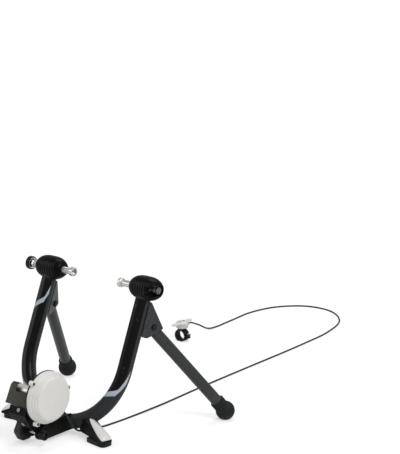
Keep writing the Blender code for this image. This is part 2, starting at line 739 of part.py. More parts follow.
def make_housing():
    """The bent plate housing behind the roller: rear wall with its window, two cheeks, floor and tongue."""
    left, right = HOUSING_LEFT_X, HOUSING_RIGHT_X
    sheet = HOUSING_SHEET
    back = -HOUSING_BACK
    low = -HOUSING_BOTTOM
    top = HOUSING_TOP - 0.004
    wall = [(left, low, 0), (right, low, 0), (right, top, 0), (right - sheet, top, 0),
            (right - sheet, -WINDOW_SILL, 0.002), (WINDOW_LEFT_X, -WINDOW_SILL, 0.004),
            (WINDOW_LEFT_X, top, 0.003), (left, top, 0.008)]
    housing = plate("roller_housing", rounded(wall, 4), ROLLER, X_AXIS, UP_WALL, INTO, back, back + sheet,
                    "grey_plate")
    inset = back + sheet / 2
    front = ROLLER_RADIUS + 0.001
    cheek = [(low, inset, 0), (low, 0.002, 0.004), (-0.010, front, 0.008), (0.010, front, 0.008),
             (HOUSING_TOP, 0.004, 0.006), (HOUSING_TOP - 0.001, inset + 0.005, 0.003),
             (HOUSING_TOP - 0.008, inset, 0)]
    for name, start, end in (("left_cheek", left, left + sheet), ("right_cheek", right - sheet, right)):
        join(housing, plate(name, rounded(cheek, 3), ROLLER, UP_WALL, INTO, X_AXIS, start, end))
    floor = [(left + sheet / 2, inset), (right - sheet / 2, inset), (right - sheet / 2, 0), (left + sheet / 2, 0)]
    join(housing, plate("floor", floor, ROLLER, X_AXIS, INTO, UP_WALL, low + 0.0001, low + sheet))
    tongue_left = SWING_LEFT_X + SWING_SHEET + SEAT_GAP
    tongue_right = SWING_RIGHT_X - SWING_SHEET - SEAT_GAP
    tongue = [(tongue_left, low - TONGUE_DROP, 0.003), (tongue_right, low - TONGUE_DROP, 0.003),
              (tongue_right, low + 0.002, 0), (tongue_left, low + 0.002, 0)]
    join(housing, plate("tongue", rounded(tongue, 3), ROLLER, X_AXIS, UP_WALL, INTO,
                        back + 0.0001, back + sheet - 0.0001))
    cut(housing, rod("bush_holes", ROLLER, X_AXIS, left - 0.01, right + 0.01, BUSH_RADIUS + SEAT_GAP))
    return cut(housing, upper_bolt_hole())


def upper_bolt_place():
    """Middle of the upper housing bolt, on the swing bracket's outer face."""
    outer = -HOUSING_BACK - SEAT_GAP - SWING_SHEET
    point = ROLLER + UP_WALL * (-HOUSING_BOTTOM - TONGUE_DROP / 2) + INTO * outer
    return Vector((HOUSING_BOLT_X, point.y, point.z))


def bolt_hole(place, inward):
    """A cutter for a housing bolt's hole."""
    return rod("bolt_hole", place, inward, -0.01, 0.01, HOUSING_BOLT_RADIUS + BOLT_GAP, segments=12)


def upper_bolt_hole():
    return bolt_hole(upper_bolt_place(), INTO)


def swing_wall_points():
    """Outer edge of the swing bracket's rear wall: top, bend and bottom, as (y, z)."""
    outer = -HOUSING_BACK - SEAT_GAP - SWING_SHEET
    top = at_roller(-HOUSING_BOTTOM - SEAT_GAP, outer)
    bend = at_roller(-HOUSING_BOTTOM - TONGUE_DROP - SWING_SHEET, outer)
    bottom = (PIVOT_Y - SWING_FOOT_BEHIND, PIVOT_Z + SWING_FOOT_RISE)
    return top, bend, bottom


def thickened(points, thickness):
    """A closed outline round an open line of three points, with the thickness on its right."""
    first, middle, last = (Vector(p) for p in points)
    n1 = Vector(((middle - first).y, -(middle - first).x)).normalized()
    n2 = Vector(((last - middle).y, -(last - middle).x)).normalized()
    bisector = (n1 + n2).normalized()
    inner = middle + bisector * (thickness / bisector.dot(n1))
    return [tuple(first), tuple(middle), tuple(last), tuple(last + n2 * thickness), tuple(inner),
            tuple(first + n1 * thickness)]


def make_swing_bracket():
    """The channel that carries the housing on the swing pivot: a bent rear wall and two tapering cheeks."""
    top, bend, bottom = swing_wall_points()
    wall = thickened((top, bend, bottom), -SWING_SHEET)
    bracket = plate("swing_bracket", wall, ORIGIN, Y_AXIS, Z_AXIS, X_AXIS, SWING_WALL_LEFT_X, SWING_RIGHT_X,
                    "black_paint")
    front = at_roller(-HOUSING_BOTTOM - SEAT_GAP, -0.004)
    rear = thickened((top, bend, bottom), -SWING_SHEET / 2)
    cheek = [rear[3], rear[4], rear[5], front] + eye((PIVOT_Y, PIVOT_Z), SWING_EYE_RADIUS, 15, -205)
    for name, low, high in (("left", SWING_LEFT_X, SWING_LEFT_X + SWING_SHEET),
                            ("right", SWING_RIGHT_X - SWING_SHEET, SWING_RIGHT_X)):
        join(bracket, plate(name, cheek, ORIGIN, Y_AXIS, Z_AXIS, X_AXIS, low, high))
    far_left = SWING_WALL_LEFT_X - 0.01
    corner = [(far_left, bottom[1] - 0.01), (SWING_LEFT_X, bottom[1] - 0.01),
              (SWING_LEFT_X - 0.001, bottom[1] + 0.004), (SWING_WALL_LEFT_X, bend[1] - 0.004),
              (far_left, bend[1] - 0.004)]
    cut(bracket, plate("ear_corner", corner, ORIGIN, X_AXIS, Z_AXIS, Y_AXIS, PIVOT_Y - 0.1, PIVOT_Y + 0.01))
    cut(bracket, rod("pivot_hole", PIVOT, X_AXIS, -0.05, 0.05, PIVOT_BOLT_RADIUS + BOLT_GAP))
    return cut(bracket, upper_bolt_hole(), bolt_hole(*lower_bolt_frame()))


def lower_bolt_frame():
    """Middle and inward direction of the lower bolt, on the bracket's lower rear wall."""
    top, bend, bottom = swing_wall_points()
    along = (Vector(bottom) - Vector(bend)).normalized()
    middle = Vector(bend) + along * (Vector(bottom) - Vector(bend)).length * 0.72
    return Vector((HOUSING_BOLT_X + 0.006, middle.x, middle.y)), Vector((0, -along.y, along.x))


def make_housing_bolts():
    """Bolts whose bright heads show on the swing bracket's rear wall."""
    bolts = []
    for name, (place, inward), length in (("upper_housing_bolt", (upper_bolt_place(), INTO), 0.010),
                                          ("lower_housing_bolt", lower_bolt_frame(), 0.006)):
        bolt = rod(name, place, inward, -SEAT_GAP - 0.003, -SEAT_GAP, HOUSING_BOLT_HEAD, "steel", 12)
        join(bolt, rod("shank", place, inward, -SEAT_GAP - 0.001, length, HOUSING_BOLT_RADIUS, segments=12))
        bolts.append(bolt)
    return bolts


def make_bushes():
    """The flanged bushes that the roller's shaft runs in."""
    bore = SHAFT_RADIUS + SEAT_GAP
    left = HOUSING_LEFT_X - SEAT_GAP
    right = HOUSING_RIGHT_X - HOUSING_SHEET - SEAT_GAP
    bushes = []
    for name, flange, length in (("left", left, BUSH_LENGTH), ("right", right, HOUSING_SHEET)):
        outer = flange - BUSH_FLANGE
        profile = [(outer, bore), (outer, BUSH_FLANGE_RADIUS), (flange, BUSH_FLANGE_RADIUS),
                   (flange, BUSH_RADIUS), (flange + length, BUSH_RADIUS), (flange + length, bore)]
        bushes.append(lathe(f"{name}_roller_bush", profile, ROLLER, X_AXIS, "black_plastic", SMALL + 4))
    return bushes


def make_roller():
    """Roller, its shaft and the brake rotor that turns with them."""
    bore = SHAFT_RADIUS + SEAT_GAP
    left = HOUSING_LEFT_X + BUSH_LENGTH
    right = HOUSING_RIGHT_X - HOUSING_SHEET - BUSH_FLANGE - 3 * SEAT_GAP
    r = ROLLER_RADIUS
    profile = [(left, bore), (left, r - 0.0015), (left + 0.0015, r), (right - 0.0015, r), (right, r - 0.0015),
               (right, bore)]
    roller = lathe("roller", profile, ROLLER, X_AXIS, "aluminium", FINE)
    shaft = rod("roller_shaft", ROLLER, X_AXIS, SHAFT_LEFT_X, SHAFT_RIGHT_X, SHAFT_RADIUS, "steel")
    face = ROTOR_X + ROTOR_THICKNESS
    hub = ROTOR_X - ROTOR_HUB_LENGTH
    profile = [(hub, bore), (hub, ROTOR_HUB_RADIUS), (ROTOR_X, ROTOR_HUB_RADIUS), (ROTOR_X, ROTOR_RADIUS),
               (face, ROTOR_RADIUS), (face, bore)]
    return [roller, shaft, lathe("brake_rotor", profile, ROLLER, X_AXIS, "aluminium", FINE)]


def around_case(angle, distance):
    """A point round the brake case's axis: angle 0 is forwards, 90 degrees is up."""
    return ROLLER + Y_AXIS * (math.cos(angle) * distance) + Z_AXIS * (math.sin(angle) * distance)


def make_case():
    """The white stepped brake cover, the back plate behind it and the three screws through their lugs."""
    r = CASE_RADIUS
    face = CASE_FACE_X
    back = CASE_BACK_X
    wall = CASE_WALL
    plate_x = magnet_plate_x()
    boss = plate_x + MAGNET_PLATE_THICKNESS + SEAT_GAP
    profile = [(face, 0), (face, r - 0.020), (face - 0.0012, r - 0.0185),
               (face - 0.0012, r - 0.013), (face - 0.0035, r - 0.011), (face - 0.0060, r - 0.0075),
               (face - 0.0100, r - 0.0068), (face - 0.0135, r - 0.0025), (face - 0.0200, r), (back, r),
               (back, r - wall), (face - 0.019, r - wall), (face - 0.0045, r - 0.0145),
               (face - 0.0045, 0.012), (boss, 0.012), (boss, SPIGOT_RADIUS),
               (plate_x - SEAT_GAP, SPIGOT_RADIUS), (plate_x - SEAT_GAP, 0)]
    cover = lathe("brake_cover", profile, ROLLER, X_AXIS, "white_plastic", FINE)
    plate_back = back - SEAT_GAP - BACK_PLATE_THICKNESS
    boss_end = HOUSING_RIGHT_X + SEAT_GAP
    bore = SHAFT_RADIUS + 0.002
    profile = [(boss_end, bore), (boss_end, BACK_PLATE_BOSS_RADIUS), (plate_back, BACK_PLATE_BOSS_RADIUS),
               (plate_back, BACK_PLATE_RADIUS - 0.001), (plate_back + 0.001, BACK_PLATE_RADIUS),
               (back - SEAT_GAP, BACK_PLATE_RADIUS), (back - SEAT_GAP, bore)]
    back_plate = lathe("brake_back_plate", profile, ROLLER, X_AXIS, "black_plastic", FINE)
    screws = []
    for k, angle in enumerate(LUG_ANGLES):
        centre = around_case(angle, r + LUG_OFFSET)
        lug_top = back + LUG_LENGTH
        join(cover, rod("lug", centre, X_AXIS, back, lug_top, LUG_RADIUS))
        join(back_plate, rod("ear", centre, X_AXIS, plate_back, back - SEAT_GAP, LUG_RADIUS))
        hole = CASE_SCREW_RADIUS + BOLT_GAP
        cut(cover, rod("hole", centre, X_AXIS, back - 0.01, lug_top + 0.01, hole, segments=12))
        cut(back_plate, rod("hole", centre, X_AXIS, plate_back - 0.01, back + 0.01, hole, segments=12))
        head = lug_top + SEAT_GAP
        screw = rod(f"case_screw_{k + 1}", centre, X_AXIS, head, head + CASE_SCREW_HEAD_HEIGHT, CASE_SCREW_HEAD,
                    "dark_steel", 12)
        join(screw, rod("shank", centre, X_AXIS, plate_back, lug_top + 0.001, CASE_SCREW_RADIUS, segments=12))
        screws.append(screw)
    return [cover, back_plate] + screws


def magnet_plate_x():
    return ROTOR_X + ROTOR_THICKNESS + MAGNET_AIR_GAP + MAGNET_THICKNESS + SEAT_GAP


def make_magnets():
    """The plate that turns on the cover's spigot, and the magnets that face the rotor."""
    start = magnet_plate_x()
    pieces = [ring("magnet_plate", ROLLER, X_AXIS, start, start + MAGNET_PLATE_THICKNESS, MAGNET_PLATE_RADIUS,
                   SPIGOT_RADIUS + SEAT_GAP, "dark_steel", FINE)]
    for k in range(MAGNET_COUNT):
        centre = around_case(2 * math.pi * k / MAGNET_COUNT, MAGNET_CIRCLE)
        end = start - SEAT_GAP
        pieces.append(rod(f"magnet_{k + 1}", centre, X_AXIS, end - MAGNET_THICKNESS, end, MAGNET_RADIUS,
                          "magnet_nickel", 12))
    return pieces


def gland_frame():
    """Foot and direction of the cable gland on the brake case's rim."""
    way = Y_AXIS * math.cos(GLAND_ANGLE) + Z_AXIS * math.sin(GLAND_ANGLE)
    return ROLLER + X_AXIS * GLAND_X + way * (CASE_RADIUS + SEAT_GAP), way


def make_gland():
    foot, way = gland_frame()
    profile = [(0, 0), (0, GLAND_RADIUS), (0.004, GLAND_RADIUS), (0.004, GLAND_RADIUS - 0.001),
               (0.010, GLAND_RADIUS - 0.0014), (GLAND_LENGTH, GLAND_RADIUS - 0.0018), (GLAND_LENGTH, 0)]
    return lathe("cable_gland", profile, foot, way, "black_plastic", SMALL)


def make_base_arm():
    """The channel welded under the bend that carries the swing pivot."""
    left_in = SWING_LEFT_X - SEAT_GAP
    right_in = SWING_RIGHT_X + SEAT_GAP
    low = BASE_ARM_LOW_Z
    bend_y = DOWN.y * BEND_SLOPE
    top = BASE_ARM_TOP_Z
    cheek = [(bend_y, low), (bend_y, low + 0.012), (bend_y - 0.004, top), (bend_y - 0.028, top)]
    cheek += eye((PIVOT_Y, PIVOT_Z), BASE_EYE_RADIUS, 80, 262)
    cheek += [(PIVOT_Y + 0.014, low)]
    arm = plate("base_arm", cheek, ORIGIN, Y_AXIS, Z_AXIS, X_AXIS, left_in - BASE_SHEET, left_in, "black_paint")
    near = bend_y - 0.002
    left_edge = left_in - BASE_SHEET / 2
    right_edge = right_in + BASE_SHEET / 2
    web = [(near, left_edge), (near, right_edge), (BASE_WEB_END_Y, right_edge), (BASE_WEB_END_Y, left_edge)]
    join(arm, plate("web", web, ORIGIN, Y_AXIS, X_AXIS, Z_AXIS, low + 0.0001, low + BASE_SHEET))
    join(arm, plate("cheek", cheek, ORIGIN, Y_AXIS, Z_AXIS, X_AXIS, right_in, right_in + BASE_SHEET))
    cut(arm, frame_cutter())
    return cut(arm, rod("pivot_hole", PIVOT, X_AXIS, -0.05, 0.05, PIVOT_BOLT_RADIUS + BOLT_GAP))


def make_clamp_knob():
    """The lobed knob and the long bolt that it turns, through the base arm and the swing bracket."""
    knob_face = SWING_LEFT_X - SEAT_GAP - BASE_SHEET - SEAT_GAP
    outline = []
    for k in range(KNOB_LOBES * 6):
        turn = 2 * math.pi * k / (KNOB_LOBES * 6)
        radius = KNOB_RADIUS - KNOB_LOBE_DEPTH * (1 - math.cos(KNOB_LOBES * turn)) / 2
        outline.append((radius * math.cos(turn), radius * math.sin(turn)))
    knob = plate("clamp_knob", outline, PIVOT, Y_AXIS, Z_AXIS, X_AXIS, knob_face - KNOB_THICKNESS,
                 knob_face - KNOB_RIM)
    bevel = knob.modifiers.new("Rim", "BEVEL")
    bevel.width = KNOB_RIM
    bevel.segments = 1
    bevel.limit_method = "ANGLE"
    bevel.angle_limit = math.radians(60)
    with bpy.context.temp_override(object=knob, active_object=knob, selected_objects=[knob]):
        bpy.ops.object.modifier_apply(modifier=bevel.name)
    join(knob, rod("boss", PIVOT, X_AXIS, knob_face - 2 * KNOB_RIM, knob_face, KNOB_BOSS_RADIUS, segments=ROUND))
    bore = PIVOT_BOLT_RADIUS + SEAT_GAP
    depth = KNOB_THICKNESS - 0.005
    cut(knob, rod("bolt_bore", PIVOT, X_AXIS, knob_face - depth, knob_face + 0.01, bore))
    nut_face = SWING_RIGHT_X + SEAT_GAP + BASE_SHEET + SEAT_GAP
    bolt_end = nut_face + PIVOT_NUT_LENGTH - PIVOT_NUT_RECESS
    bolt = rod("pivot_bolt", PIVOT, X_AXIS, knob_face - depth + SEAT_GAP, bolt_end - SEAT_GAP, PIVOT_BOLT_RADIUS,
               "steel")
    return [knob, bolt]


def make_pivot_nut():
    """The round nut on the arm's right side, with a recess in its end."""
    start = SWING_RIGHT_X + SEAT_GAP + BASE_SHEET + SEAT_GAP
    end = start + PIVOT_NUT_LENGTH
    bore = PIVOT_BOLT_RADIUS + SEAT_GAP
    floor = end - PIVOT_NUT_RECESS
    recess = PIVOT_NUT_RECESS_RADIUS
    profile = [(start, bore), (start, PIVOT_NUT_RADIUS - 0.001), (start + 0.001, PIVOT_NUT_RADIUS),
               (end - 0.002, PIVOT_NUT_RADIUS), (end, PIVOT_NUT_RADIUS - 0.002), (end, recess),
               (floor, recess), (floor, bore)]
    return lathe("pivot_nut", profile, PIVOT, X_AXIS, "black_plastic")


def bar_height():
    """Height of the handlebar bore's axis, with the clamp resting on its flat."""
    return BAR_DIAMETER / 2 + REMOTE_CLAMP_WALL - REMOTE_CLAMP_FLAT


def remote_body_z():
    """Underside of the remote's body, on the clamp's saddle."""
    return bar_height() + BAR_DIAMETER / 2 + REMOTE_CLAMP_WALL + 0.003


def make_remote():
    """Handlebar clamp, lever base with the cable barrel, two-winged lever and clamp screw."""
    bore = BAR_DIAMETER / 2
    outer = bore + REMOTE_CLAMP_WALL
    half = REMOTE_CLAMP_WIDTH / 2
    middle = REMOTE_PLACE + Z_AXIS * bar_height()
    top = remote_body_z() - SEAT_GAP
    clamp = rod("remote_clamp", middle, Y_AXIS, -half, half, outer, "black_plastic", FINE - 4)
    saddle = rounded([(-0.008, bore + 0.001, 0), (0.008, bore + 0.001, 0), (0.010, top - bar_height(), 0.001),
                      (-0.010, top - bar_height(), 0.001)], 2)
    join(clamp, plate("saddle", saddle, middle, X_AXIS, Z_AXIS, Y_AXIS, -half + 0.001, half - 0.001))
    ear_far = outer + REMOTE_EAR_LENGTH
    ear = REMOTE_EAR / 2
    root = bore + 0.001
    join(clamp, plate("ear", [(root, -ear), (ear_far, -ear), (ear_far, ear), (root, ear)], middle,
                      X_AXIS, Z_AXIS, Y_AXIS, -ear, ear))
    cut(clamp, rod("bar", middle, Y_AXIS, -half - 0.01, half + 0.01, bore, segments=FINE - 4))
    reach = 2 * outer
    cut(clamp, plate("flat", square(reach), REMOTE_PLACE, X_AXIS, Y_AXIS, Z_AXIS, -reach, 0))
    slit = REMOTE_SPLIT / 2
    split = [(bore - 0.004, -slit), (ear_far + 0.01, -slit), (ear_far + 0.01, slit), (bore - 0.004, slit)]
    cut(clamp, plate("split", split, middle, X_AXIS, Z_AXIS, Y_AXIS, -half, half))
    screw_place = middle + X_AXIS * (outer + REMOTE_EAR_LENGTH / 2)
    hole = CASE_SCREW_RADIUS + BOLT_GAP
    cut(clamp, rod("screw_hole", screw_place, Z_AXIS, -2 * ear, 2 * ear, hole, segments=12))
    head = ear + SEAT_GAP
    screw = rod("remote_clamp_screw", screw_place, Z_AXIS, head, head + CASE_SCREW_HEAD_HEIGHT, CASE_SCREW_HEAD,
                "steel", 12)
    join(screw, rod("shank", screw_place, Z_AXIS, -ear, head + 0.001, CASE_SCREW_RADIUS, segments=12))

    low = remote_body_z()
    r = REMOTE_BODY_RADIUS
    high = low + REMOTE_BODY_HEIGHT
    profile = [(low, 0), (low, r - 0.002), (low + 0.002, r), (high - 0.001, r), (high, r - 0.001), (high, 0)]
    body = lathe("remote_body", profile, REMOTE_PLACE, Z_AXIS, "pale_plastic", FINE - 4)
    join(body, rod("barrel", REMOTE_PLACE + Z_AXIS * cable_end_z(), Y_AXIS, 0.010, REMOTE_BARREL_END,
                   REMOTE_BARREL_RADIUS))
    seat = high + SEAT_GAP
    lever = rod("remote_lever", REMOTE_PLACE, Z_AXIS, seat, seat + REMOTE_LEVER_HEIGHT, REMOTE_LEVER_RADIUS,
                "white_plastic", FINE - 4)
    wing = REMOTE_WING_WIDTH / 2
    span = REMOTE_LEVER_SPAN / 2
    bar = [(-wing, -span, 0.006), (wing, -span, 0.006), (wing, span, 0.006), (-wing, span, 0.006)]
    join(lever, plate("wings", rounded(bar, 3), REMOTE_PLACE, X_AXIS, Y_AXIS, Z_AXIS, seat + 0.001,
                      seat + 0.001 + REMOTE_WING_HEIGHT))
    return [clamp, screw, body], lever


def cable_end_z():
    """Height of the cable's axis where it enters the remote's barrel."""
    return remote_body_z() + REMOTE_BODY_HEIGHT / 2


def cable_floor():
    """Height of the cable's axis where it lies on the floor."""
    return CABLE_DIAMETER / 2 + CABLE_FLOOR_GAP


def cable_route():
    """The cord's own points: out of the gland, under the bend, along the floor and up to the remote."""
    foot, way = gland_frame()
    start = foot + way * (GLAND_LENGTH + SEAT_GAP)
    floor = cable_floor()
    end = REMOTE_PLACE + Y_AXIS * (REMOTE_BARREL_END + SEAT_GAP) + Z_AXIS * cable_end_z()
    return [start, start + way * 0.008,
            Vector((0.0640, -0.174, 0.0380)), Vector((0.0635, -0.152, 0.0130)), Vector((0.0645, -0.122, 0.0042)),
            Vector((0.0715, -0.092, floor)), Vector((0.0795, -0.055, floor)), Vector((0.0855, 0.030, floor)),
            Vector((0.0870, 0.150, floor)), Vector((0.0820, 0.285, floor)), Vector((0.0790, 0.410, floor)),
            Vector((0.0770, 0.560, floor)), Vector((0.0760, 0.690, floor)), Vector((0.0725, 0.820, floor)),
            Vector((0.0640, 0.950, floor)), Vector((0.0270, 1.075, floor)), Vector((-0.055, 1.150, floor)),
            Vector((-0.150, 1.150, floor)), Vector((-0.220, 1.083, floor)), Vector((-0.248, 0.985, floor)),
            Vector((-0.243, 0.880, floor)), Vector((-0.237, 0.800, floor)), Vector((-0.235, 0.745, 0.0080)),
            Vector((-0.235, 0.700, 0.0300)), end + Y_AXIS * 0.010, end]


def smooth_line(points):
    """Points along a Catmull-Rom curve through the given ones, closer at both ends, which run straight."""
    fine = []
    for k in range(1, len(points) - 2):
        a, b, c, d = points[k - 1:k + 3]
        for i in range(40):
            t = i / 40
            fine.append(0.5 * ((2 * b) + (c - a) * t + (2 * a - 5 * b + 4 * c - d) * t * t
                               + (3 * b - a - 3 * c + d) * t ** 3))
    fine.append(points[-2])
    distance = [0]
    for a, b in zip(fine, fine[1:]):
        distance.append(distance[-1] + (b - a).length)
    total = distance[-1]
    line = [points[0], fine[0]]
    reached = 0
    for point, along in zip(fine, distance):
        near_end = along < CABLE_START_RUN or along > total - CABLE_END_RUN
        step = CABLE_STEP if near_end else CABLE_FLOOR_STEP
        if along - reached >= step and total - along > CABLE_STEP / 2:
            line.append(point)
            reached = along
    return line + [fine[-1], points[-1]]


def make_cable():
    """The resistance cable, a bevelled curve that nowhere dips under the floor."""
    points = smooth_line(cable_route())
    curve = bpy.data.curves.new("resistance_cable", "CURVE")
    curve.dimensions = "3D"
    curve.bevel_depth = CABLE_DIAMETER / 2
    curve.bevel_resolution = 2
    curve.use_fill_caps = True
    spline = curve.splines.new("POLY")
    spline.points.add(len(points) - 1)
    for place, point in zip(spline.points, points):
        place.co = (point.x, point.y, max(point.z, cable_floor()), 1)
    curve.materials.append(look("cable_jacket"))
    cable = bpy.data.objects.new("resistance_cable", curve)
    bpy.context.collection.objects.link(cable)
    return cable


def world_place(obj):
    """Where an object's origin stands, added up through its parents."""
    place = Vector((0, 0, 0))
    while obj:
        place += obj.location
        obj = obj.parent
    return place


def body(name, place, parent=None):
    """An empty on a moving group's joint axis, or at the trainer's own origin."""
    empty = bpy.data.objects.new(name, None)
    empty.empty_display_size = 0.03
    bpy.context.collection.objects.link(empty)
    empty.parent = parent
    empty.location = place - world_place(parent)
    return empty


def hang(joint, *pieces):
    """Parent pieces that were modelled in place, and move their origins to the joint."""
    place = world_place(joint)
    for piece in pieces:
        piece.parent = joint
        piece.data.transform(Matrix.Translation(-place))


def footprint_shift():
    """How far forward the axle line stands from the middle of the footprint."""
    rear = -ROLLER_Y + BACK_PLATE_RADIUS
    front = LegFrame(1).foot.y + FOOT_RADIUS
    return (rear - front) / 2


def make_side(side, word, trainer):
    """The pieces that both sides have: clamp head, rear corner, leg bracket and folding leg."""
    leg = LegFrame(side)
    hang(trainer, *make_clamp_head(side, word), *make_stance(side, word))
    hang(trainer, make_leg_bracket(leg, word), *make_leg_fasteners(leg, word))
    hang(body(f"{word.upper()}_LEG", leg.pivot, trainer), *make_leg(leg, word))


def make_brake_unit(trainer):
    """The swinging unit: housing, bracket and case, with the roller and the magnets inside it."""
    unit = body("BRAKE_UNIT", PIVOT, trainer)
    hang(unit, make_housing(), make_swing_bracket(), make_gland())
    hang(unit, *make_housing_bolts(), *make_bushes(), *make_case())
    hang(body("ROLLER_SPIN", ROLLER, unit), *make_roller())
    hang(body("MAGNET_SHIFT", ROLLER, unit), *make_magnets())


def main():
    clear_scene()
    trainer = body("TRAINER", ORIGIN)
    hang(trainer, make_u_frame(), make_base_arm(), make_pivot_nut())
    for side, word in ((-1, "left"), (1, "right")):
        make_side(side, word, trainer)

    left = body("LEFT_CLAMP", AXLE, trainer)
    cup_piece, turning = make_left_clamp()
    hang(left, cup_piece)
    hang(body("LEFT_SCREW", AXLE, left), *turning)
    hang(body("RIGHT_CLAMP", AXLE, trainer), *make_right_clamp())

    make_brake_unit(trainer)
    hang(body("CLAMP_KNOB", PIVOT, trainer), *make_clamp_knob())

    still, lever = make_remote()
    hang(trainer, *still, make_cable())
    hang(body("REMOTE_LEVER", REMOTE_PLACE, trainer), lever)
    trainer.location.y = footprint_shift()


main()
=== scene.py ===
"""The looks of a wheel-on bike trainer, laid out as a Blender add-on and run as a script.

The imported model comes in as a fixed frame. Each operator below makes one piece, or one group of like
pieces, around it, in metres: +Z up, +Y the way the bicycle faces, +X to its right.
"""

import json
import math

import bmesh
import bpy
from bpy.props import FloatProperty, FloatVectorProperty, IntProperty, PointerProperty
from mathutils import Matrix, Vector


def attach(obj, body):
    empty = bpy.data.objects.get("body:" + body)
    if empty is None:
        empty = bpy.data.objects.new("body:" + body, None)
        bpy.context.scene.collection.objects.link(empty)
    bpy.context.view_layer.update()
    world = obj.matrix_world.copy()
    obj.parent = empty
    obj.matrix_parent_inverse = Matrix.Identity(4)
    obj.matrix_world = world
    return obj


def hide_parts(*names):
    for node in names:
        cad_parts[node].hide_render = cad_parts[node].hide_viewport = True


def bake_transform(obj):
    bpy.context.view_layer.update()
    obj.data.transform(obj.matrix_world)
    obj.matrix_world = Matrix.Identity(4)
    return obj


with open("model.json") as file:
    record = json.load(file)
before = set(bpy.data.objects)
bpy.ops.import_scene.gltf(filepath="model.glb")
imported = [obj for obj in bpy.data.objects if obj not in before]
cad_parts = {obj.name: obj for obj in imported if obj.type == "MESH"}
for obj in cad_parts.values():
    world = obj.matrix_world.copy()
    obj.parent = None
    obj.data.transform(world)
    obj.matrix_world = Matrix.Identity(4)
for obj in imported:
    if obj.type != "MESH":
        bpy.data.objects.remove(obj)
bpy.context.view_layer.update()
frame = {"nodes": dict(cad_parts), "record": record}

bl_info = {
    "name": "Bike trainer looks",
    "version": (1, 0, 0),
    "blender": (4, 5, 0),
    "location": "3D View > Sidebar > Trainer",
    "description": "Dresses the packed bike trainer with detailed pieces and finishes",
    "category": "Object",
}

X_AXIS = Vector((1, 0, 0))
Y_AXIS = Vector((0, 1, 0))
Z_AXIS = Vector((0, 0, 1))
ORIGIN = Vector((0, 0, 0))
JOINTS = {joint["name"]: joint for joint in frame["record"]["behaviour"]["joints"]}
AXLE = Vector(JOINTS["left_screw_turn"]["pos_m"])
ROLLER = Vector(JOINTS["roller_turn"]["pos_m"])
SWING = Vector(JOINTS["brake_swing"]["pos_m"])
REMOTE = Vector(JOINTS["remote_lever_turn"]["pos_m"])

# The U frame's plane: DOWN runs along the posts, AHEAD stands square to the plane
LEAN = math.radians(23)
DOWN = Vector((0, -math.sin(LEAN), -math.cos(LEAN)))
AHEAD = Vector((0, math.cos(LEAN), -math.sin(LEAN)))
POST_X = 0.162
TUBE_RADIUS = 0.01905
TUBE_WALL = 0.002
FLOOR_CLEARANCE = 0.005
POST_LENGTH = (AXLE.z - FLOOR_CLEARANCE - TUBE_RADIUS) / math.cos(LEAN) - POST_X
SIDES = ((-1, "left"), (1, "right"))

# The room left between neighbouring pieces, and the thickness of pressed plate
GAP = 0.0003
PLATE = 0.003

# Clamp heads, spindles and cups, counted outwards from the middle plane
HEAD_INNER = 0.120
HEAD_OUTER = 0.206
HEAD_MIDDLE = (HEAD_INNER + HEAD_OUTER) / 2
HEAD_RADIUS = 0.0305
SLEEVE_START = HEAD_INNER + 0.003
SLEEVE_END = SLEEVE_START + 0.060
SPINDLE_RADIUS = 0.0087
BORE = SPINDLE_RADIUS + GAP
LEFT_CUP = 0.082
RIGHT_CUP = 0.075
CUP_LENGTH = 0.0125
WHEEL_INNER = 0.233

# Legs: how far down the post and out from it the pivot lies, how high the ball of the foot, and the
# room between a leg and its bracket
LEG_SPLAY = math.radians(22)
LEG_OPEN = math.radians(60)
PIVOT_SLOPE = 0.090
PIVOT_REACH = 0.040
FOOT_HEIGHT = 0.0235
FOOT_RADIUS = 0.025
FOOT_OVERLAP = 0.012
LEG_RADIUS = 0.015
LEG_BORE = 0.0135
LEG_ROOM = 0.0005
STANCE_TURN = math.radians(-17)

# Sides of the base arm at the swing bolt, the clamp knob, and the radius of the bolts and the shaft
ARM_LEFT = 0.001
ARM_RIGHT = 0.038
KNOB_LENGTH = 0.024
BOLT_RADIUS = 0.004

# Brake case, counted from the roller's middle, and the strain relief on the case's rim
CASE_RADIUS = 0.065
CASE_FACE = 0.086
CASE_BACK = 0.0553
BACK_PLATE = 0.0035
LUG_REACH = 0.0045
LUG_ANGLES = (136, 236, 6)
GLAND_X = 0.064
GLAND_TURN = math.radians(-45)
GLAND_LENGTH = 0.0147

# Remote, and the cable's way to it: hanging from the brake, along the floor, up to the barrel
REMOTE_BODY_Z = 0.040
BARREL_LIFT = 0.006
BARREL_END = 0.032
CABLE_HANG = ((0.0640, -0.174, 0.0380), (0.0635, -0.152, 0.0130), (0.0645, -0.122, 0.0042))
CABLE_FLOOR = ((0.0715, -0.092), (0.0795, -0.055), (0.0855, 0.030), (0.0870, 0.150), (0.0820, 0.285),
               (0.0790, 0.410), (0.0770, 0.560), (0.0760, 0.690), (0.0725, 0.820), (0.0640, 0.950),
               (0.0270, 1.075), (-0.055, 1.150), (-0.150, 1.150), (-0.220, 1.083), (-0.248, 0.985),
               (-0.243, 0.880), (-0.237, 0.800))
CABLE_RISE = ((-0.235, 0.745, 0.0080), (-0.235, 0.700, 0.0300))

# Camera, lamps (name, place, power, size) and world
CAMERA_PLACE = (2.55685, -2.692246, 1.37579)
CAMERA_WAY = Vector((-0.61144, 0.75769, -0.22812))
CAMERA_LENS = 120.76
LAMP_AIM = Vector((0, 0, 0.15))
LAMPS = (("key_lamp", (2.2, -0.6, 2.6), 60, 1.4), ("fill_lamp", (-2.4, -2.2, 1.8), 16, 1.8),
         ("top_lamp", (-0.3, 1.2, 3.0), 30, 1.6))
WORLD_LIGHT = 0.55

# Dust that settles low, and the half width of the soft edge of the posts' film
DUST = (0.20, 0.19, 0.17)
FILM_EDGE = 0.0004


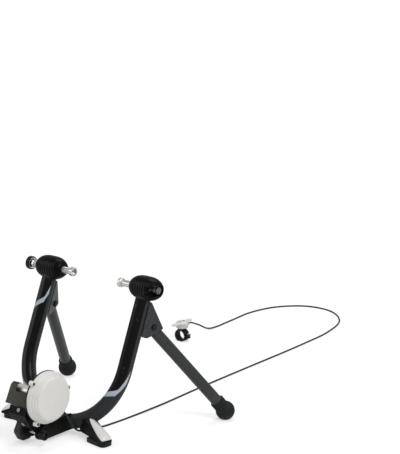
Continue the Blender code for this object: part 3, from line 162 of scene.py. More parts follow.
class TrainerSizes(bpy.types.PropertyGroup):
    """Sizes that the detailed pieces are made with."""

    smoothness: IntProperty(name="Smoothness", description="Sides of a round piece", default=64, min=24)
    rib_count: IntProperty(name="Ribs", description="Ribs on each clamp head", default=8, min=4)
    rib_pitch: FloatProperty(name="Rib pitch", description="From one rib of a clamp head to the next",
                             default=0.0076, unit="LENGTH")
    rib_depth: FloatProperty(name="Rib depth", description="Depth of the grooves between the ribs",
                             default=0.0022, unit="LENGTH")
    thread_lead: FloatProperty(name="Thread lead", description="Travel of the clamp spindle in one turn",
                               default=0.004, unit="LENGTH")
    cable: FloatProperty(name="Cable", description="Diameter of the resistance cable", default=0.005,
                         unit="LENGTH")


class TrainerColours(bpy.types.PropertyGroup):
    """Colours of the trainer's finishes."""

    graphite: FloatVectorProperty(name="Graphite paint", description="Paint of the tubes and leg brackets",
                                  subtype="COLOR", default=(0.025, 0.0275, 0.0285))
    panel: FloatVectorProperty(name="Black panel", description="Black film on the posts",
                               subtype="COLOR", default=(0.004, 0.004, 0.004))
    stripe: FloatVectorProperty(name="Stripe", description="Pale stripe that ends the black panel",
                                subtype="COLOR", default=(0.33, 0.365, 0.41))
    black: FloatVectorProperty(name="Black plastic", description="Moulded clamp heads, knob and brackets",
                               subtype="COLOR", default=(0.0034, 0.0034, 0.0036))
    white: FloatVectorProperty(name="White plastic", description="Brake cover, foot caps and lever",
                               subtype="COLOR", default=(0.60, 0.59, 0.57))
    housing: FloatVectorProperty(name="Housing paint", description="Paint of the roller housing",
                                 subtype="COLOR", default=(0.035, 0.033, 0.0275))
    rubber: FloatVectorProperty(name="Rubber", description="Feet and soles", subtype="COLOR",
                                default=(0.015, 0.0170, 0.0175))
    steel: FloatVectorProperty(name="Plated steel", description="Spindles, bolts and shaft", subtype="COLOR",
                               default=(0.62, 0.62, 0.62))


def sizes():
    return bpy.context.scene.trainer_sizes


def colours():
    return bpy.context.scene.trainer_colours


def ribbed_half():
    """Half the length of a clamp head's ribbed part."""
    return sizes().rib_count * sizes().rib_pitch / 2


# Shader maths

def maths(operation, reflected=False):
    """A method of Number that adds a Math node."""

    def method(self, *others):
        values = (*others, self) if reflected else (self, *others)
        node = self.finish.node("ShaderNodeMath", {"operation": operation}, dict(enumerate(values)))
        return Number(self.finish, node.outputs[0])

    return method


class Number:
    """A number that varies over a surface. Python arithmetic on it adds Math nodes."""

    def __init__(self, finish, socket):
        self.finish = finish
        self.socket = socket

    __add__, __radd__ = maths("ADD"), maths("ADD", True)
    __sub__, __rsub__ = maths("SUBTRACT"), maths("SUBTRACT", True)
    __mul__, __rmul__ = maths("MULTIPLY"), maths("MULTIPLY", True)
    __truediv__, __rtruediv__ = maths("DIVIDE"), maths("DIVIDE", True)
    __pow__, __rpow__ = maths("POWER"), maths("POWER", True)
    __abs__ = maths("ABSOLUTE")
    most, least = maths("MAXIMUM"), maths("MINIMUM")
    wave = maths("SINE")
    # The angle of the point (other, self)
    bearing = maths("ARCTAN2")

    def step(self, low, high):
        """0 below low, 1 above high, eased between them."""
        settings = {"interpolation_type": "SMOOTHSTEP"}
        node = self.finish.node("ShaderNodeMapRange", settings, {"Value": self, "From Min": low, "From Max": high})
        return Number(self.finish, node.outputs["Result"])

    def within(self, centre, half, soft):
        """1 where this number is within half of the centre, with soft edges."""
        return 1 - abs(self - centre).step(half - soft, half + soft)


class Finish:
    """A material in the making, around one Principled shader."""

    def __init__(self, name, colour, roughness, metallic=0.0, specular=0.2):
        self.material = bpy.data.materials.new(name)
        self.material.use_nodes = True
        self.tree = self.material.node_tree
        self.shader = self.tree.nodes["Principled BSDF"]
        self.shader.inputs["Base Color"].default_value = (*colour, 1)
        self.shader.inputs["Roughness"].default_value = roughness
        self.shader.inputs["Metallic"].default_value = metallic
        self.shader.inputs["Specular IOR Level"].default_value = specular
        self.position = self.node("ShaderNodeTexCoord").outputs["Object"]

    def node(self, kind, settings=None, sockets=None):
        """A node of the given type, its settings made first, then the values or links of its sockets."""
        node = self.tree.nodes.new(kind)
        for key, value in (settings or {}).items():
            setattr(node, key, value)
        for key, value in (sockets or {}).items():
            self.give(node.inputs[key], value)
        return node

    def give(self, socket, value):
        if isinstance(value, Number):
            value = value.socket
        if isinstance(value, bpy.types.NodeSocket):
            self.tree.links.new(value, socket)
        elif socket.type == "RGBA" and len(value) == 3:
            socket.default_value = (*value, 1)
        else:
            socket.default_value = value

    def set(self, socket, value):
        self.give(self.shader.inputs[socket], value)

    def along(self, direction, origin=ORIGIN):
        """Distance of the surface point from the origin, along a direction."""
        offset = self.node("ShaderNodeVectorMath", {"operation": "SUBTRACT"}, {0: self.position, 1: tuple(origin)})
        dot = self.node("ShaderNodeVectorMath", {"operation": "DOT_PRODUCT"},
                        {0: offset.outputs[0], 1: tuple(direction)})
        return Number(self, dot.outputs["Value"])

    def noise(self, scale, detail=2.0, stretch=(1, 1, 1), rough=0.5):
        """Cloudy noise from 0 to 1, its cells stretched along the axes."""
        place = self.position
        if stretch != (1, 1, 1):
            place = self.node("ShaderNodeMapping", {}, {"Vector": self.position, "Scale": stretch}).outputs[0]
        node = self.node("ShaderNodeTexNoise", {}, {"Vector": place, "Scale": scale, "Detail": detail,
                                                    "Roughness": rough})
        return Number(self, node.outputs["Fac"])

    def edges(self):
        """1 on outer edges and 0 elsewhere."""
        point = self.node("ShaderNodeNewGeometry").outputs["Pointiness"]
        return Number(self, point).step(0.505, 0.56)

    def mix(self, mask, low, high):
        """A colour that goes from low to high with the mask."""
        node = self.node("ShaderNodeMix", {"data_type": "RGBA"})
        self.give(node.inputs[0], mask)
        self.give(node.inputs[6], low)
        self.give(node.inputs[7], high)
        return node.outputs[2]

    def bump(self, height, distance):
        """Relief from a height that runs from 0 to 1, over a depth in metres."""
        node = self.node("ShaderNodeBump", {}, {"Height": height, "Distance": distance})
        self.set("Normal", node.outputs["Normal"])


def shade(colour, factor):
    return tuple(min(1, c * factor) for c in colour)


# Finishes

def powder_coat(name, colour, roughness, dirt=0.25, specular=0.2):
    """Satin powder coat: fine orange peel, slow mottling, dust that settles low and patchy pale edges that are a
    painted edge highlight.
    """
    coat = Finish(name, colour, roughness, specular=specular)
    mottle = coat.noise(38, 3)
    dust = (0.10 - coat.along(Z_AXIS)).step(0.0, 0.1) * coat.noise(220, 4) * dirt
    tone = coat.mix(mottle, shade(colour, 0.86), shade(colour, 1.16))
    tone = coat.mix(dust, tone, DUST)
    # Patchy pale edges: painted edge highlight
    tone = coat.mix(coat.edges() * coat.noise(260, 2).step(0.45, 0.7) * 0.5, tone, shade(colour, 2.6))
    coat.set("Base Color", tone)
    coat.set("Roughness", roughness - 0.07 + mottle * 0.14 + dust * 0.4)
    coat.bump(coat.noise(1500, 2), 0.00006)
    return coat


def post_film(name, colour, roughness):
    """Graphite coat with the black film on both posts, its pale lower stripes and the left post's upper one."""
    coat = Finish(name, colour, roughness, specular=0.07)
    down = coat.along(DOWN, AXLE)
    ahead = coat.along(AHEAD, AXLE)
    sideways = coat.along(X_AXIS)
    across = abs(sideways)
    below = (down - POST_LENGTH).most(0)
    reach = (across * across + below * below) ** 0.5
    run = down.least(POST_LENGTH) + below.bearing(across) * POST_X
    round_tube = (reach - POST_X).bearing(0 - ahead)
    right = sideways.step(-0.001, 0.001)
    left = 1 - right

    def band(centre, half):
        return 1 - (abs(run - centre) - half).step(-FILM_EDGE, FILM_EDGE)

    # Where along the tube the panel ends and the stripes lie, as they wind round it
    right_end = 0.2775 - round_tube * 0.0155 - (round_tube - 0.8).most(0) * 0.037
    left_end = 0.327 - round_tube * 0.040
    end = left_end * left + right_end * right
    half = 0.0078 + (round_tube - 0.6).most(0) * 0.0075 * right + 0.003 * left
    upper = 0.0995 + round_tube * 0.016 + (round_tube + 0.8).least(0) * 0.045
    upper_half = 0.0068 + (-0.6 - round_tube).most(0) * 0.007
    black = left * round_tube.within(-0.745, 0.50, 0.008) + right * round_tube.within(0.04, 1.16, 0.008)
    wrap = left * round_tube.within(0.0, 1.27, 0.008) + right * round_tube.within(0.10, 1.50, 0.008)
    panel = black * run.step(0.0295, 0.0305) * (1 - (run - end).step(-FILM_EDGE, FILM_EDGE))
    stripe = (wrap * band(end, half)).most(wrap * band(upper, upper_half) * left)

    mottle = coat.noise(38, 3)
    scratch = coat.noise(90, 4, (1, 1, 0.12)).step(0.66, 0.70) * 0.12
    tone = coat.mix(mottle, shade(colour, 0.86), shade(colour, 1.16))
    tone = coat.mix(panel, tone, colours().panel)
    tone = coat.mix(stripe, tone, colours().stripe)
    coat.set("Base Color", coat.mix(scratch, tone, (0.30, 0.30, 0.30)))
    film = panel.most(stripe)
    coat.set("Roughness", roughness + mottle * 0.10 - film * 0.08 + scratch)
    coat.set("Coat Weight", film * 0.04)
    coat.bump(coat.noise(1500, 2) * (1 - film) * 0.35 + film * 0.65, 0.00010)
    return coat


def moulded(name, colour, roughness, grain=900, specular=0.2):
    """Moulded plastic: fine spark-eroded grain, faint flow marks, and smoother edges that are painted paler as a
    painted edge highlight.
    """
    plastic = Finish(name, colour, roughness, specular=specular)
    flow = plastic.noise(26, 3, (1, 1, 0.4))
    edge_polish_and_highlight = plastic.edges()
    tone = plastic.mix(flow, shade(colour, 0.90), shade(colour, 1.12))
    # Paler edges: painted edge highlight; the lower roughness there is real polish
    plastic.set("Base Color", plastic.mix(edge_polish_and_highlight * 0.30, tone, shade(colour, 1.9)))
    plastic.set("Roughness", roughness + flow * 0.12 - edge_polish_and_highlight * 0.12)
    plastic.bump(plastic.noise(grain, 3, rough=0.7), 0.00008)
    return plastic


def ribs_with_painted_highlight(name, colour, roughness):
    """Black plastic with a darker base as painted shade for the grooves, and the crests of the heads' ribs painted
    paler as a painted highlight.
    """
    # Darker base: painted shade for the grooves between the ribs
    plastic = moulded(name, shade(colour, 0.55), roughness, specular=0.065)
    pitch, ribbed = sizes().rib_pitch, ribbed_half()
    out = abs(plastic.along(X_AXIS))
    turns = (out - (HEAD_MIDDLE - ribbed)) * (2 * math.pi / pitch)
    crest = (turns + math.pi / 2).wave() * 0.5 + 0.5
    sides = 1 - abs(plastic.along(Z_AXIS, AXLE)).step(0.018, 0.024)
    # Crests of the ribs: painted highlight
    crest_highlight = crest * sides * out.within(HEAD_MIDDLE, ribbed, 0.001)
    tone = plastic.shader.inputs["Base Color"].links[0].from_socket
    plastic.set("Base Color", plastic.mix(crest_highlight, tone, shade(colour, 5.0)))
    return plastic


def glossy_cover(name, colour, roughness):
    """Warm white plastic: soft gloss, slight mottling, scattered patches of grime."""
    plastic = Finish(name, colour, roughness, specular=0.4)
    flow = plastic.noise(18, 3)
    grime = plastic.noise(70, 5).step(0.50, 0.78) * 0.16
    tone = plastic.mix(flow, shade(colour, 0.965), shade(colour, 1.02))
    plastic.set("Base Color", plastic.mix(grime, tone, shade(colour, 0.70)))
    plastic.set("Roughness", roughness + flow * 0.08 + grime)
    plastic.bump(plastic.noise(1300, 2), 0.00004)
    return plastic


def dull_rubber(name, colour, roughness):
    """Dull moulded rubber with a dusty bloom and scuffs."""
    rubber = Finish(name, colour, roughness, specular=0.1)
    bloom = rubber.noise(60, 5).step(0.38, 0.80)
    low = 1 - rubber.along(Z_AXIS).step(0.002, 0.020)
    tone = rubber.mix(bloom * 0.5, shade(colour, 0.85), shade(colour, 1.7))
    rubber.set("Base Color", rubber.mix(low * bloom * 0.45, tone, (0.14, 0.13, 0.12)))
    rubber.set("Roughness", roughness + bloom * 0.25)
    rubber.bump(rubber.noise(1000, 4, rough=0.7), 0.00012)
    return rubber


def plated(name, colour, roughness, direction=X_AXIS):
    """Plated steel: fine turning marks along one direction and a cloudy plating."""
    metal = Finish(name, colour, roughness, 1.0, 0.5)
    cloud = metal.noise(120, 3)
    marks = ((metal.along(direction) * 9000).wave() * 0.5 + 0.5) * metal.noise(800, 2)
    tone = metal.mix(cloud, shade(colour, 0.80), shade(colour, 1.10))
    metal.set("Base Color", metal.mix(marks * 0.3, tone, shade(colour, 0.6)))
    metal.set("Roughness", roughness + cloud * 0.12 + marks * 0.06)
    metal.bump(marks, 0.00002)
    return metal


def extruded(name, colour, roughness):
    """Extruded cable jacket: satin, with faint drawing lines and dust."""
    jacket = Finish(name, colour, roughness)
    bloom = jacket.noise(90, 4)
    jacket.set("Base Color", jacket.mix(bloom, shade(colour, 0.8), shade(colour, 1.35)))
    jacket.set("Roughness", roughness + bloom * 0.2)
    jacket.bump(jacket.noise(700, 2), 0.00004)
    return jacket


# Each finish: its maker, its colour (values, or a name from the colours above), a factor on that colour,
# then the maker's own values, the roughness first
FINISHES = {
    "graphite_coat": (powder_coat, "graphite", 1, 0.36),
    "black_coat": (powder_coat, "black", 0.8, 0.46, 0.06, 0.08),
    "housing_coat": (powder_coat, "housing", 1, 0.46),
    "post_film": (post_film, "graphite", 1, 0.36),
    "head_plastic": (ribs_with_painted_highlight, "black", 1, 0.28),
    "knob_plastic": (moulded, "black", 1.25, 0.48, 700),
    "clamp_knob_plastic": (moulded, (0.026, 0.026, 0.026), 1, 0.50, 700),
    "bracket_plastic": (moulded, "black", 1.15, 0.50, 600, 0.12),
    "inner_plastic": (moulded, "black", 1.4, 0.55),
    "remote_plastic": (moulded, "white", 0.72, 0.42, 1100),
    "cover_plastic": (glossy_cover, "white", 1, 0.33),
    "foot_rubber": (dull_rubber, "rubber", 1, 0.62),
    "plated_steel": (plated, "steel", 1, 0.24),
    "turned_aluminium": (plated, (0.74, 0.73, 0.68), 1, 0.34),
    "dark_plate": (plated, (0.16, 0.165, 0.175), 1, 0.36, Y_AXIS),
    "blackened_steel": (plated, (0.035, 0.035, 0.037), 1, 0.42, Y_AXIS),
    "worn_steel": (plated, (0.28, 0.28, 0.27), 1, 0.40),
    "magnet_plate_finish": (plated, (0.50, 0.49, 0.46), 1, 0.28),
    "cable_jacket": (extruded, (0.022, 0.024, 0.025), 1, 0.42),
}
MADE = {}


def material(finish):
    """The material of a finish, made when it is first asked for."""
    if finish not in MADE:
        maker, colour, factor, *values = FINISHES[finish]
        if isinstance(colour, str):
            colour = getattr(colours(), colour)
        MADE[finish] = maker(finish, shade(colour, factor), *values).material
    return MADE[finish]


# Shapes

def square_to(axis):
    """Two unit vectors square to the axis and to each other."""
    side = Z_AXIS if abs(axis.dot(Z_AXIS)) < 0.9 else Y_AXIS
    u = side.cross(axis).normalized()
    return u, axis.cross(u).normalized()


def ways(line):
    """Each point of a line, with the line's direction there."""
    last = len(line) - 1
    return [(point, (line[min(k + 1, last)] - line[max(k - 1, 0)]).normalized()) for k, point in enumerate(line)]


def beyond(start, *points, out=0):
    """Profile points from (along, radius) pairs in millimetres, counted from a start and a radius."""
    return [(start + along / 1000, out + radius / 1000) for along, radius in points]


def tube(start, end, bore, radius):
    """The profile of a plain tube, or of a rod if the bore is 0."""
    return [(start, bore), (start, radius), (end, radius), (end, bore)]


def box(low, high, half):
    """The corners of a rectangle, from low to high and half to each side."""
    return [(low, -half), (high, -half), (high, half), (low, half)]


def eased(profile, radius, steps=3):
    """A lathe profile with each of its corners rounded by a small arc."""
    closed = profile[0][1] > 0
    points = [Vector(p) for p in profile]
    last = len(points) - 1
    smooth = []
    for k, here in enumerate(points):
        if not closed and k in (0, last):
            smooth.append(tuple(here))
            continue
        back = points[k - 1] - here
        ahead = points[(k + 1) % len(points)] - here
        if back.angle(ahead) > math.radians(165):
            smooth.append(tuple(here))
            continue
        start = here + back.normalized() * min(radius, 0.42 * back.length)
        end = here + ahead.normalized() * min(radius, 0.42 * ahead.length)
        for i in range(steps + 1):
            t = i / steps
            smooth.append(tuple(start * (1 - t) ** 2 + here * (2 * t * (1 - t)) + end * t * t))
    return smooth


def rounded_box(a, b, radius, steps):
    """A rectangle that reaches a and b to each side, each corner rounded by a short arc."""
    outline = []
    for k, (x, y) in enumerate(box(radius - a, a - radius, b - radius)):
        for i in range(steps + 1):
            turn = math.pi / 2 * (k + 2 + i / steps)
            outline.append((x + radius * math.cos(turn), y + radius * math.sin(turn)))
    return outline


class Form:
    """The points and faces of one piece in the making."""

    def __init__(self):
        self.verts = []
        self.faces = []

    def loop(self, points):
        start = len(self.verts)
        self.verts += points
        return list(range(start, start + len(points)))

    def bridge(self, a, b):
        for k in range(len(a)):
            n = (k + 1) % len(a)
            self.faces.append([a[k], a[n], b[n], b[k]])

    def skin(self, loops):
        """Faces between each loop and the next."""
        for a, b in zip(loops, loops[1:]):
            self.bridge(a, b)
        return self

    def ring(self, centre, u, v, radius, sides):
        """A round loop in the plane of u and v."""
        turns = (2 * math.pi * i / sides for i in range(sides))
        return self.loop([centre + (u * math.cos(a) + v * math.sin(a)) * radius for a in turns])

    def turn(self, profile, centre, axis, sides=None, wobble=None):
        """Turn (along, radius) points about an axis. Radius 0 closes the end; wobble(along, angle) adds to it."""
        sides = sides or sizes().smoothness
        u, v = square_to(axis.normalized())
        loops = []
        for along, radius in profile:
            if radius == 0:
                loops.append(None)
                continue
            points = []
            for k in range(sides):
                angle = 2 * math.pi * k / sides
                far = radius + (wobble(along, angle) if wobble else 0)
                points.append(centre + axis * along + (u * math.cos(angle) + v * math.sin(angle)) * far)
            loops.append(self.loop(points))
        pairs = list(zip(loops, loops[1:]))
        if profile[0][1] > 0:
            pairs.append((loops[-1], loops[0]))
        for a, b in pairs:
            if a is None or b is None:
                self.faces += [list(end) for end in (a, b) if end]
            else:
                self.bridge(a, b)
        return self

    def rod(self, centre, axis, start, end, radius, edge=0.0005, sides=None):
        """A cylinder with eased ends."""
        return self.turn(eased(tube(start, end, 0, radius), edge), centre, axis, sides)

    def sweep(self, path, flat, radius, bore=0.0, sides=40):
        """A tube along a path that lies in the plane square to `flat`. A bore of 0 makes it solid."""
        layers = []
        for size in (radius, bore):
            if size == 0:
                continue
            loops = [self.ring(point, way.cross(flat).normalized(), flat, size, sides) for point, way in ways(path)]
            self.skin(loops)
            layers.append(loops)
        for end in (0, -1):
            if bore == 0:
                self.faces.append(list(layers[0][end]))
            else:
                self.bridge(layers[0][end], layers[1][end])
        return self

    def plate(self, outline, origin, u, v, w, low, high):
        """An outline in the u, v plane, raised from low to high along w."""
        bottom = self.loop([origin + u * a + v * b + w * low for a, b in outline])
        top = self.loop([origin + u * a + v * b + w * high for a, b in outline])
        self.faces += [list(bottom), list(top)]
        self.bridge(bottom, top)
        return self

    def solid(self, name):
        """The bare object, its faces turned outwards."""
        mesh = bpy.data.meshes.new(name)
        mesh.from_pydata([tuple(v) for v in self.verts], [], self.faces)
        work = bmesh.new()
        work.from_mesh(mesh)
        bmesh.ops.recalc_face_normals(work, faces=work.faces)
        work.to_mesh(mesh)
        work.free()
        obj = bpy.data.objects.new(name, mesh)
        bpy.context.scene.collection.objects.link(obj)
        return obj

    def piece(self, name, body, finish, slot, *nodes, bevel=0.0, sharp=40):
        settle(self.solid(name), body, finish, slot, *nodes, bevel=bevel, sharp=sharp)


def settle(obj, body, finish, slot, *nodes, bevel=0.0, sharp=40):
    """Give a finished shape its edges, finish and body, and let it stand for the CAD nodes it replaces."""
    mesh = obj.data
    mesh.materials.clear()
    mesh.materials.append(material(finish))
    mesh.shade_smooth()
    mesh.set_sharp_from_angle(angle=math.radians(sharp))
    if bevel:
        edge = obj.modifiers.new("Edges", "BEVEL")
        edge.width = bevel
        edge.segments = 3
        edge.limit_method = "ANGLE"
        edge.angle_limit = math.radians(28)
        edge.use_clamp_overlap = True
    normals = obj.modifiers.new("Normals", "WEIGHTED_NORMAL")
    normals.keep_sharp = not bevel
    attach(obj, body)
    if nodes:
        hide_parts(*nodes)


def lathe(profile, edge, centre, axis, *labels, sides=None):
    """A piece that is one turned profile with its corners eased."""
    Form().turn(eased(profile, edge), centre, axis, sides).piece(*labels)


def carve(obj, other, operation):
    """Apply a Boolean of other to obj and remove other."""
    modifier = obj.modifiers.new(operation.title(), "BOOLEAN")
    modifier.operation = operation
    modifier.object = other
    with bpy.context.temp_override(object=obj, active_object=obj, selected_objects=[obj]):
        bpy.ops.object.modifier_apply(modifier=modifier.name)
    bpy.data.objects.remove(other, do_unlink=True)
    return obj


def soften(node, body, finish, slot, width):
    """A copy of a plain CAD plate with its facets joined up and its edges rounded."""
    source = frame["nodes"][node]
    mesh = source.data.copy()
    work = bmesh.new()
    work.from_mesh(mesh)
    bmesh.ops.remove_doubles(work, verts=work.verts, dist=0.00001)
    bmesh.ops.dissolve_limit(work, angle_limit=math.radians(1), verts=work.verts, edges=work.edges)
    work.to_mesh(mesh)
    work.free()
    obj = bpy.data.objects.new(f"{node}_plate", mesh)
    bpy.context.scene.collection.objects.link(obj)
    settle(obj, body, finish, slot, node, bevel=width)


def dress(finish, *nodes):
    """Give CAD nodes that keep their shape a finish."""
    for node in nodes:
        for place in frame["nodes"][node].material_slots:
            place.material = material(finish)


# Places

def at(x, y, z):
    """A point counted from the axle line's foot on the floor."""
    return Vector((x, y + AXLE.y, z))


def post_point(side, slope):
    """The point on a post's centre line at a distance down the slope from the axle."""
    return AXLE + X_AXIS * (side * POST_X) + DOWN * slope


def frame_line(steps=72):
    """The U frame's centre line, from the left post's top to the right post's top."""
    line = [post_point(-1, POST_LENGTH * k / 8) for k in range(8)]
    for k in range(steps + 1):
        turn = math.pi * k / steps
        line.append(AXLE - X_AXIS * (POST_X * math.cos(turn)) + DOWN * (POST_LENGTH + POST_X * math.sin(turn)))
    return line + [post_point(1, POST_LENGTH * (1 - k / 8)) for k in range(1, 9)]


def frame_cutter():
    """The U frame's outside with a hair's breadth round it, to cut what rests against the tube."""
    return Form().sweep(frame_line(36), AHEAD, TUBE_RADIUS + GAP).solid("frame_cutter")


# The pieces

class TRAINER_OT_camera(bpy.types.Operator):
    """Set the camera where the product view is taken from, behind the trainer on its right."""
    bl_idname = "trainer.camera"
    bl_label = "Camera"

    def execute(self, context):
        data = bpy.data.cameras.new("camera")
        data.lens = CAMERA_LENS
        data.sensor_width = 36
        camera = bpy.data.objects.new("camera", data)
        context.scene.collection.objects.link(camera)
        camera.location = CAMERA_PLACE
        camera.rotation_euler = CAMERA_WAY.to_track_quat("-Z", "Y").to_euler()
        context.scene.camera = camera
        return {"FINISHED"}


def gland_place():
    """Foot and direction of the cable's strain relief on the brake case's rim."""
    way = Y_AXIS * math.cos(GLAND_TURN) + Z_AXIS * math.sin(GLAND_TURN)
    return ROLLER + X_AXIS * GLAND_X + way * (CASE_RADIUS + GAP), way


def cable_line():
    """The cable's centre line: out of the strain relief, under the bend, along the floor, up to the remote."""
    foot, way = gland_place()
    start = foot + way * (GLAND_LENGTH + GAP)
    low = sizes().cable / 2 + 0.0002
    end = REMOTE + Y_AXIS * (BARREL_END + GAP) + Z_AXIS * (REMOTE_BODY_Z + BARREL_LIFT - REMOTE.z)
    route = [start, start + way * 0.008]
    route += [at(*place) for place in CABLE_HANG]
    route += [at(x, y, low) for x, y in CABLE_FLOOR]
    route += [at(*place) for place in CABLE_RISE]
    route += [end + Y_AXIS * 0.010, end]
    line = [route[0]]
    steps = 12
    for k in range(1, len(route) - 2):
        a, b, c, d = route[k - 1:k + 3]
        for i in range(steps):
            t = i / steps
            point = 0.5 * (2 * b + (c - a) * t + (2 * a - 5 * b + 4 * c - d) * t * t
                           + (3 * b - a - 3 * c + d) * t ** 3)
            point.z = max(point.z, low)
            line.append(point)
    return line + route[-2:]


class TRAINER_OT_cable(bpy.types.Operator):
    """Lay the resistance cable from the brake to the handlebar remote, with its tapered strain relief."""
    bl_idname = "trainer.cable"
    bl_label = "Resistance cable"

    def jacket(self, line, sides=14):
        """A round skin along the line, without twist."""
        form = Form()
        loops = []
        up = X_AXIS
        for point, way in ways(line):
            up = (up - way * up.dot(way)).normalized()
            loops.append(form.ring(point, up, way.cross(up), sizes().cable / 2, sides))
        form.faces += [list(loops[0]), list(loops[-1])]
        return form.skin(loops).solid("cable")

    def execute(self, context):
        line = cable_line()
        cable = self.jacket(line)
        cable.data.materials.append(material("cable_jacket"))
        cable.data.shade_smooth()
        cable.data.set_sharp_from_angle(angle=math.radians(50))
        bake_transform(cable)
        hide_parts("resistance_cable")

        profile = beyond(0, (0, 0), (0, 5), (3.2, 5), (3.8, 4.2))
        for k in range(4):
            profile += beyond(0.0050 + 0.0024 * k, (0, 0), (1.2, 0), (1.5, -0.6), (2.1, -0.6),
                              out=0.0040 - 0.00022 * k)
        profile += [(GLAND_LENGTH, 0.0031), (GLAND_LENGTH, 0)]
        foot, way = gland_place()
        Form().turn(eased(profile, 0.0003, 2), foot, way, 32).piece(
            "strain_relief", "brake_unit", "inner_plastic", "black_plastic", "cable_gland")
        return {"FINISHED"}


class TRAINER_OT_u_frame(bpy.types.Operator):
    """Bend the U tube and set the axle sleeves across its two tops."""
    bl_idname = "trainer.u_frame"
    bl_label = "U frame"

    def execute(self, context):
        Form().sweep(frame_line(), AHEAD, TUBE_RADIUS, TUBE_RADIUS - TUBE_WALL, 48).piece(
            "u_tube", "frame", "post_film", "graphite_paint", "u_frame")
        for side, word in SIDES:
            lathe(tube(SLEEVE_START, SLEEVE_END, BORE, 0.014), 0.0004, AXLE, X_AXIS * side,
                  f"{word}_axle_sleeve", "frame", "dark_plate", "graphite_paint")
        return {"FINISHED"}


def head_profile():
    """Outline of a clamp head with domed ends, its stations close together where the ribs are."""
    half = (HEAD_OUTER - HEAD_INNER) / 2
    ribbed = ribbed_half()
    stations = [-half + (half - ribbed) * k / 10 for k in range(10)]
    stations += [-ribbed + sizes().rib_pitch * k / 8 for k in range(sizes().rib_count * 8 + 1)]
    stations += [ribbed + (half - ribbed) * k / 10 for k in range(1, 11)]
    outline = [(HEAD_MIDDLE + t, HEAD_RADIUS * (1 - 0.42 * abs(t / half) ** 3.2)) for t in stations]
    (start, low), (end, high) = outline[0], outline[-1]
    first = [(start + 0.0006, 0), (start + 0.0006, low - 0.0022), (start + 0.0001, low - 0.0009)]
    final = [(end - 0.0001, high - 0.0009), (end - 0.0006, high - 0.0022), (end - 0.0006, 0)]
    return first + outline[1:-1] + final


def rib_groove(along, angle):
    """Depth of the grooves between a head's ribs, which fade out towards its top and bottom."""
    ribbed = ribbed_half()
    t = along - HEAD_MIDDLE
    if abs(t) >= ribbed:
        return 0
    wave = max(0, math.cos(2 * math.pi * ((t + ribbed) / sizes().rib_pitch % 1 - 0.5))) ** 1.4
    fade = min(1, max(0, (0.80 - abs(math.sin(angle))) / 0.16))
    return -sizes().rib_depth * wave * fade


class TRAINER_OT_clamp_heads(bpy.types.Operator):
    """Mould the ribbed clamp heads, each as a front and a rear shell."""
    bl_idname = "trainer.clamp_heads"
    bl_label = "Clamp heads"

    def shell(self, side, name, way):
        """One half of a head, cut away for the sleeve, the spindle, the post and the right knob's notch."""
        axis = X_AXIS * side
        bore = SPINDLE_RADIUS + 2 * GAP
        mouth = 0.013 if side > 0 else bore
        before, past = HEAD_INNER - 0.01, HEAD_OUTER + 0.01
        hollow = [(before, 0), (before, bore), (SLEEVE_START - GAP, bore), (SLEEVE_START - GAP, 0.0143),
                  (SLEEVE_END + GAP, 0.0143), (SLEEVE_END + GAP, mouth), (past, mouth), (past, 0)]
        shell = Form().turn(head_profile(), AXLE, axis, 96, rib_groove).solid(name)
        carve(shell, Form().turn(hollow, AXLE, axis, 72).solid("hollow"), "DIFFERENCE")
        post = Form().rod(post_point(side, 0), DOWN, -GAP, 0.06, TUBE_RADIUS + GAP, 0, 72)
        carve(shell, post.solid("post"), "DIFFERENCE")
        half = Form().plate(box(-0.5, 0.5, 0.5), AXLE, X_AXIS, DOWN, AHEAD * way, GAP / 2, 0.5)
        carve(shell, half.solid("half"), "INTERSECT")
        if side > 0:
            notch = Form().plate(box(SLEEVE_END + GAP, past, 0.0117), AXLE, X_AXIS, Z_AXIS, -Y_AXIS, 0, 0.06)
            carve(shell, notch.solid("notch"), "DIFFERENCE")
        return shell

    def execute(self, context):
        for side, word in SIDES:
            for name, way in (("front", 1), ("rear", -1)):
                settle(self.shell(side, f"{word}_head_{name}", way), "frame", "head_plastic", "black_plastic",
                       f"{word}_clamp_shell_{name}")
        return {"FINISHED"}


def wound(along, angle):
    """How far a thread winds in and out, with the spindle's lead."""
    phase = (along / sizes().thread_lead + angle / (2 * math.pi)) % 1
    return -0.0007 * (0.5 + 0.5 * math.cos(2 * math.pi * phase)) ** 0.8


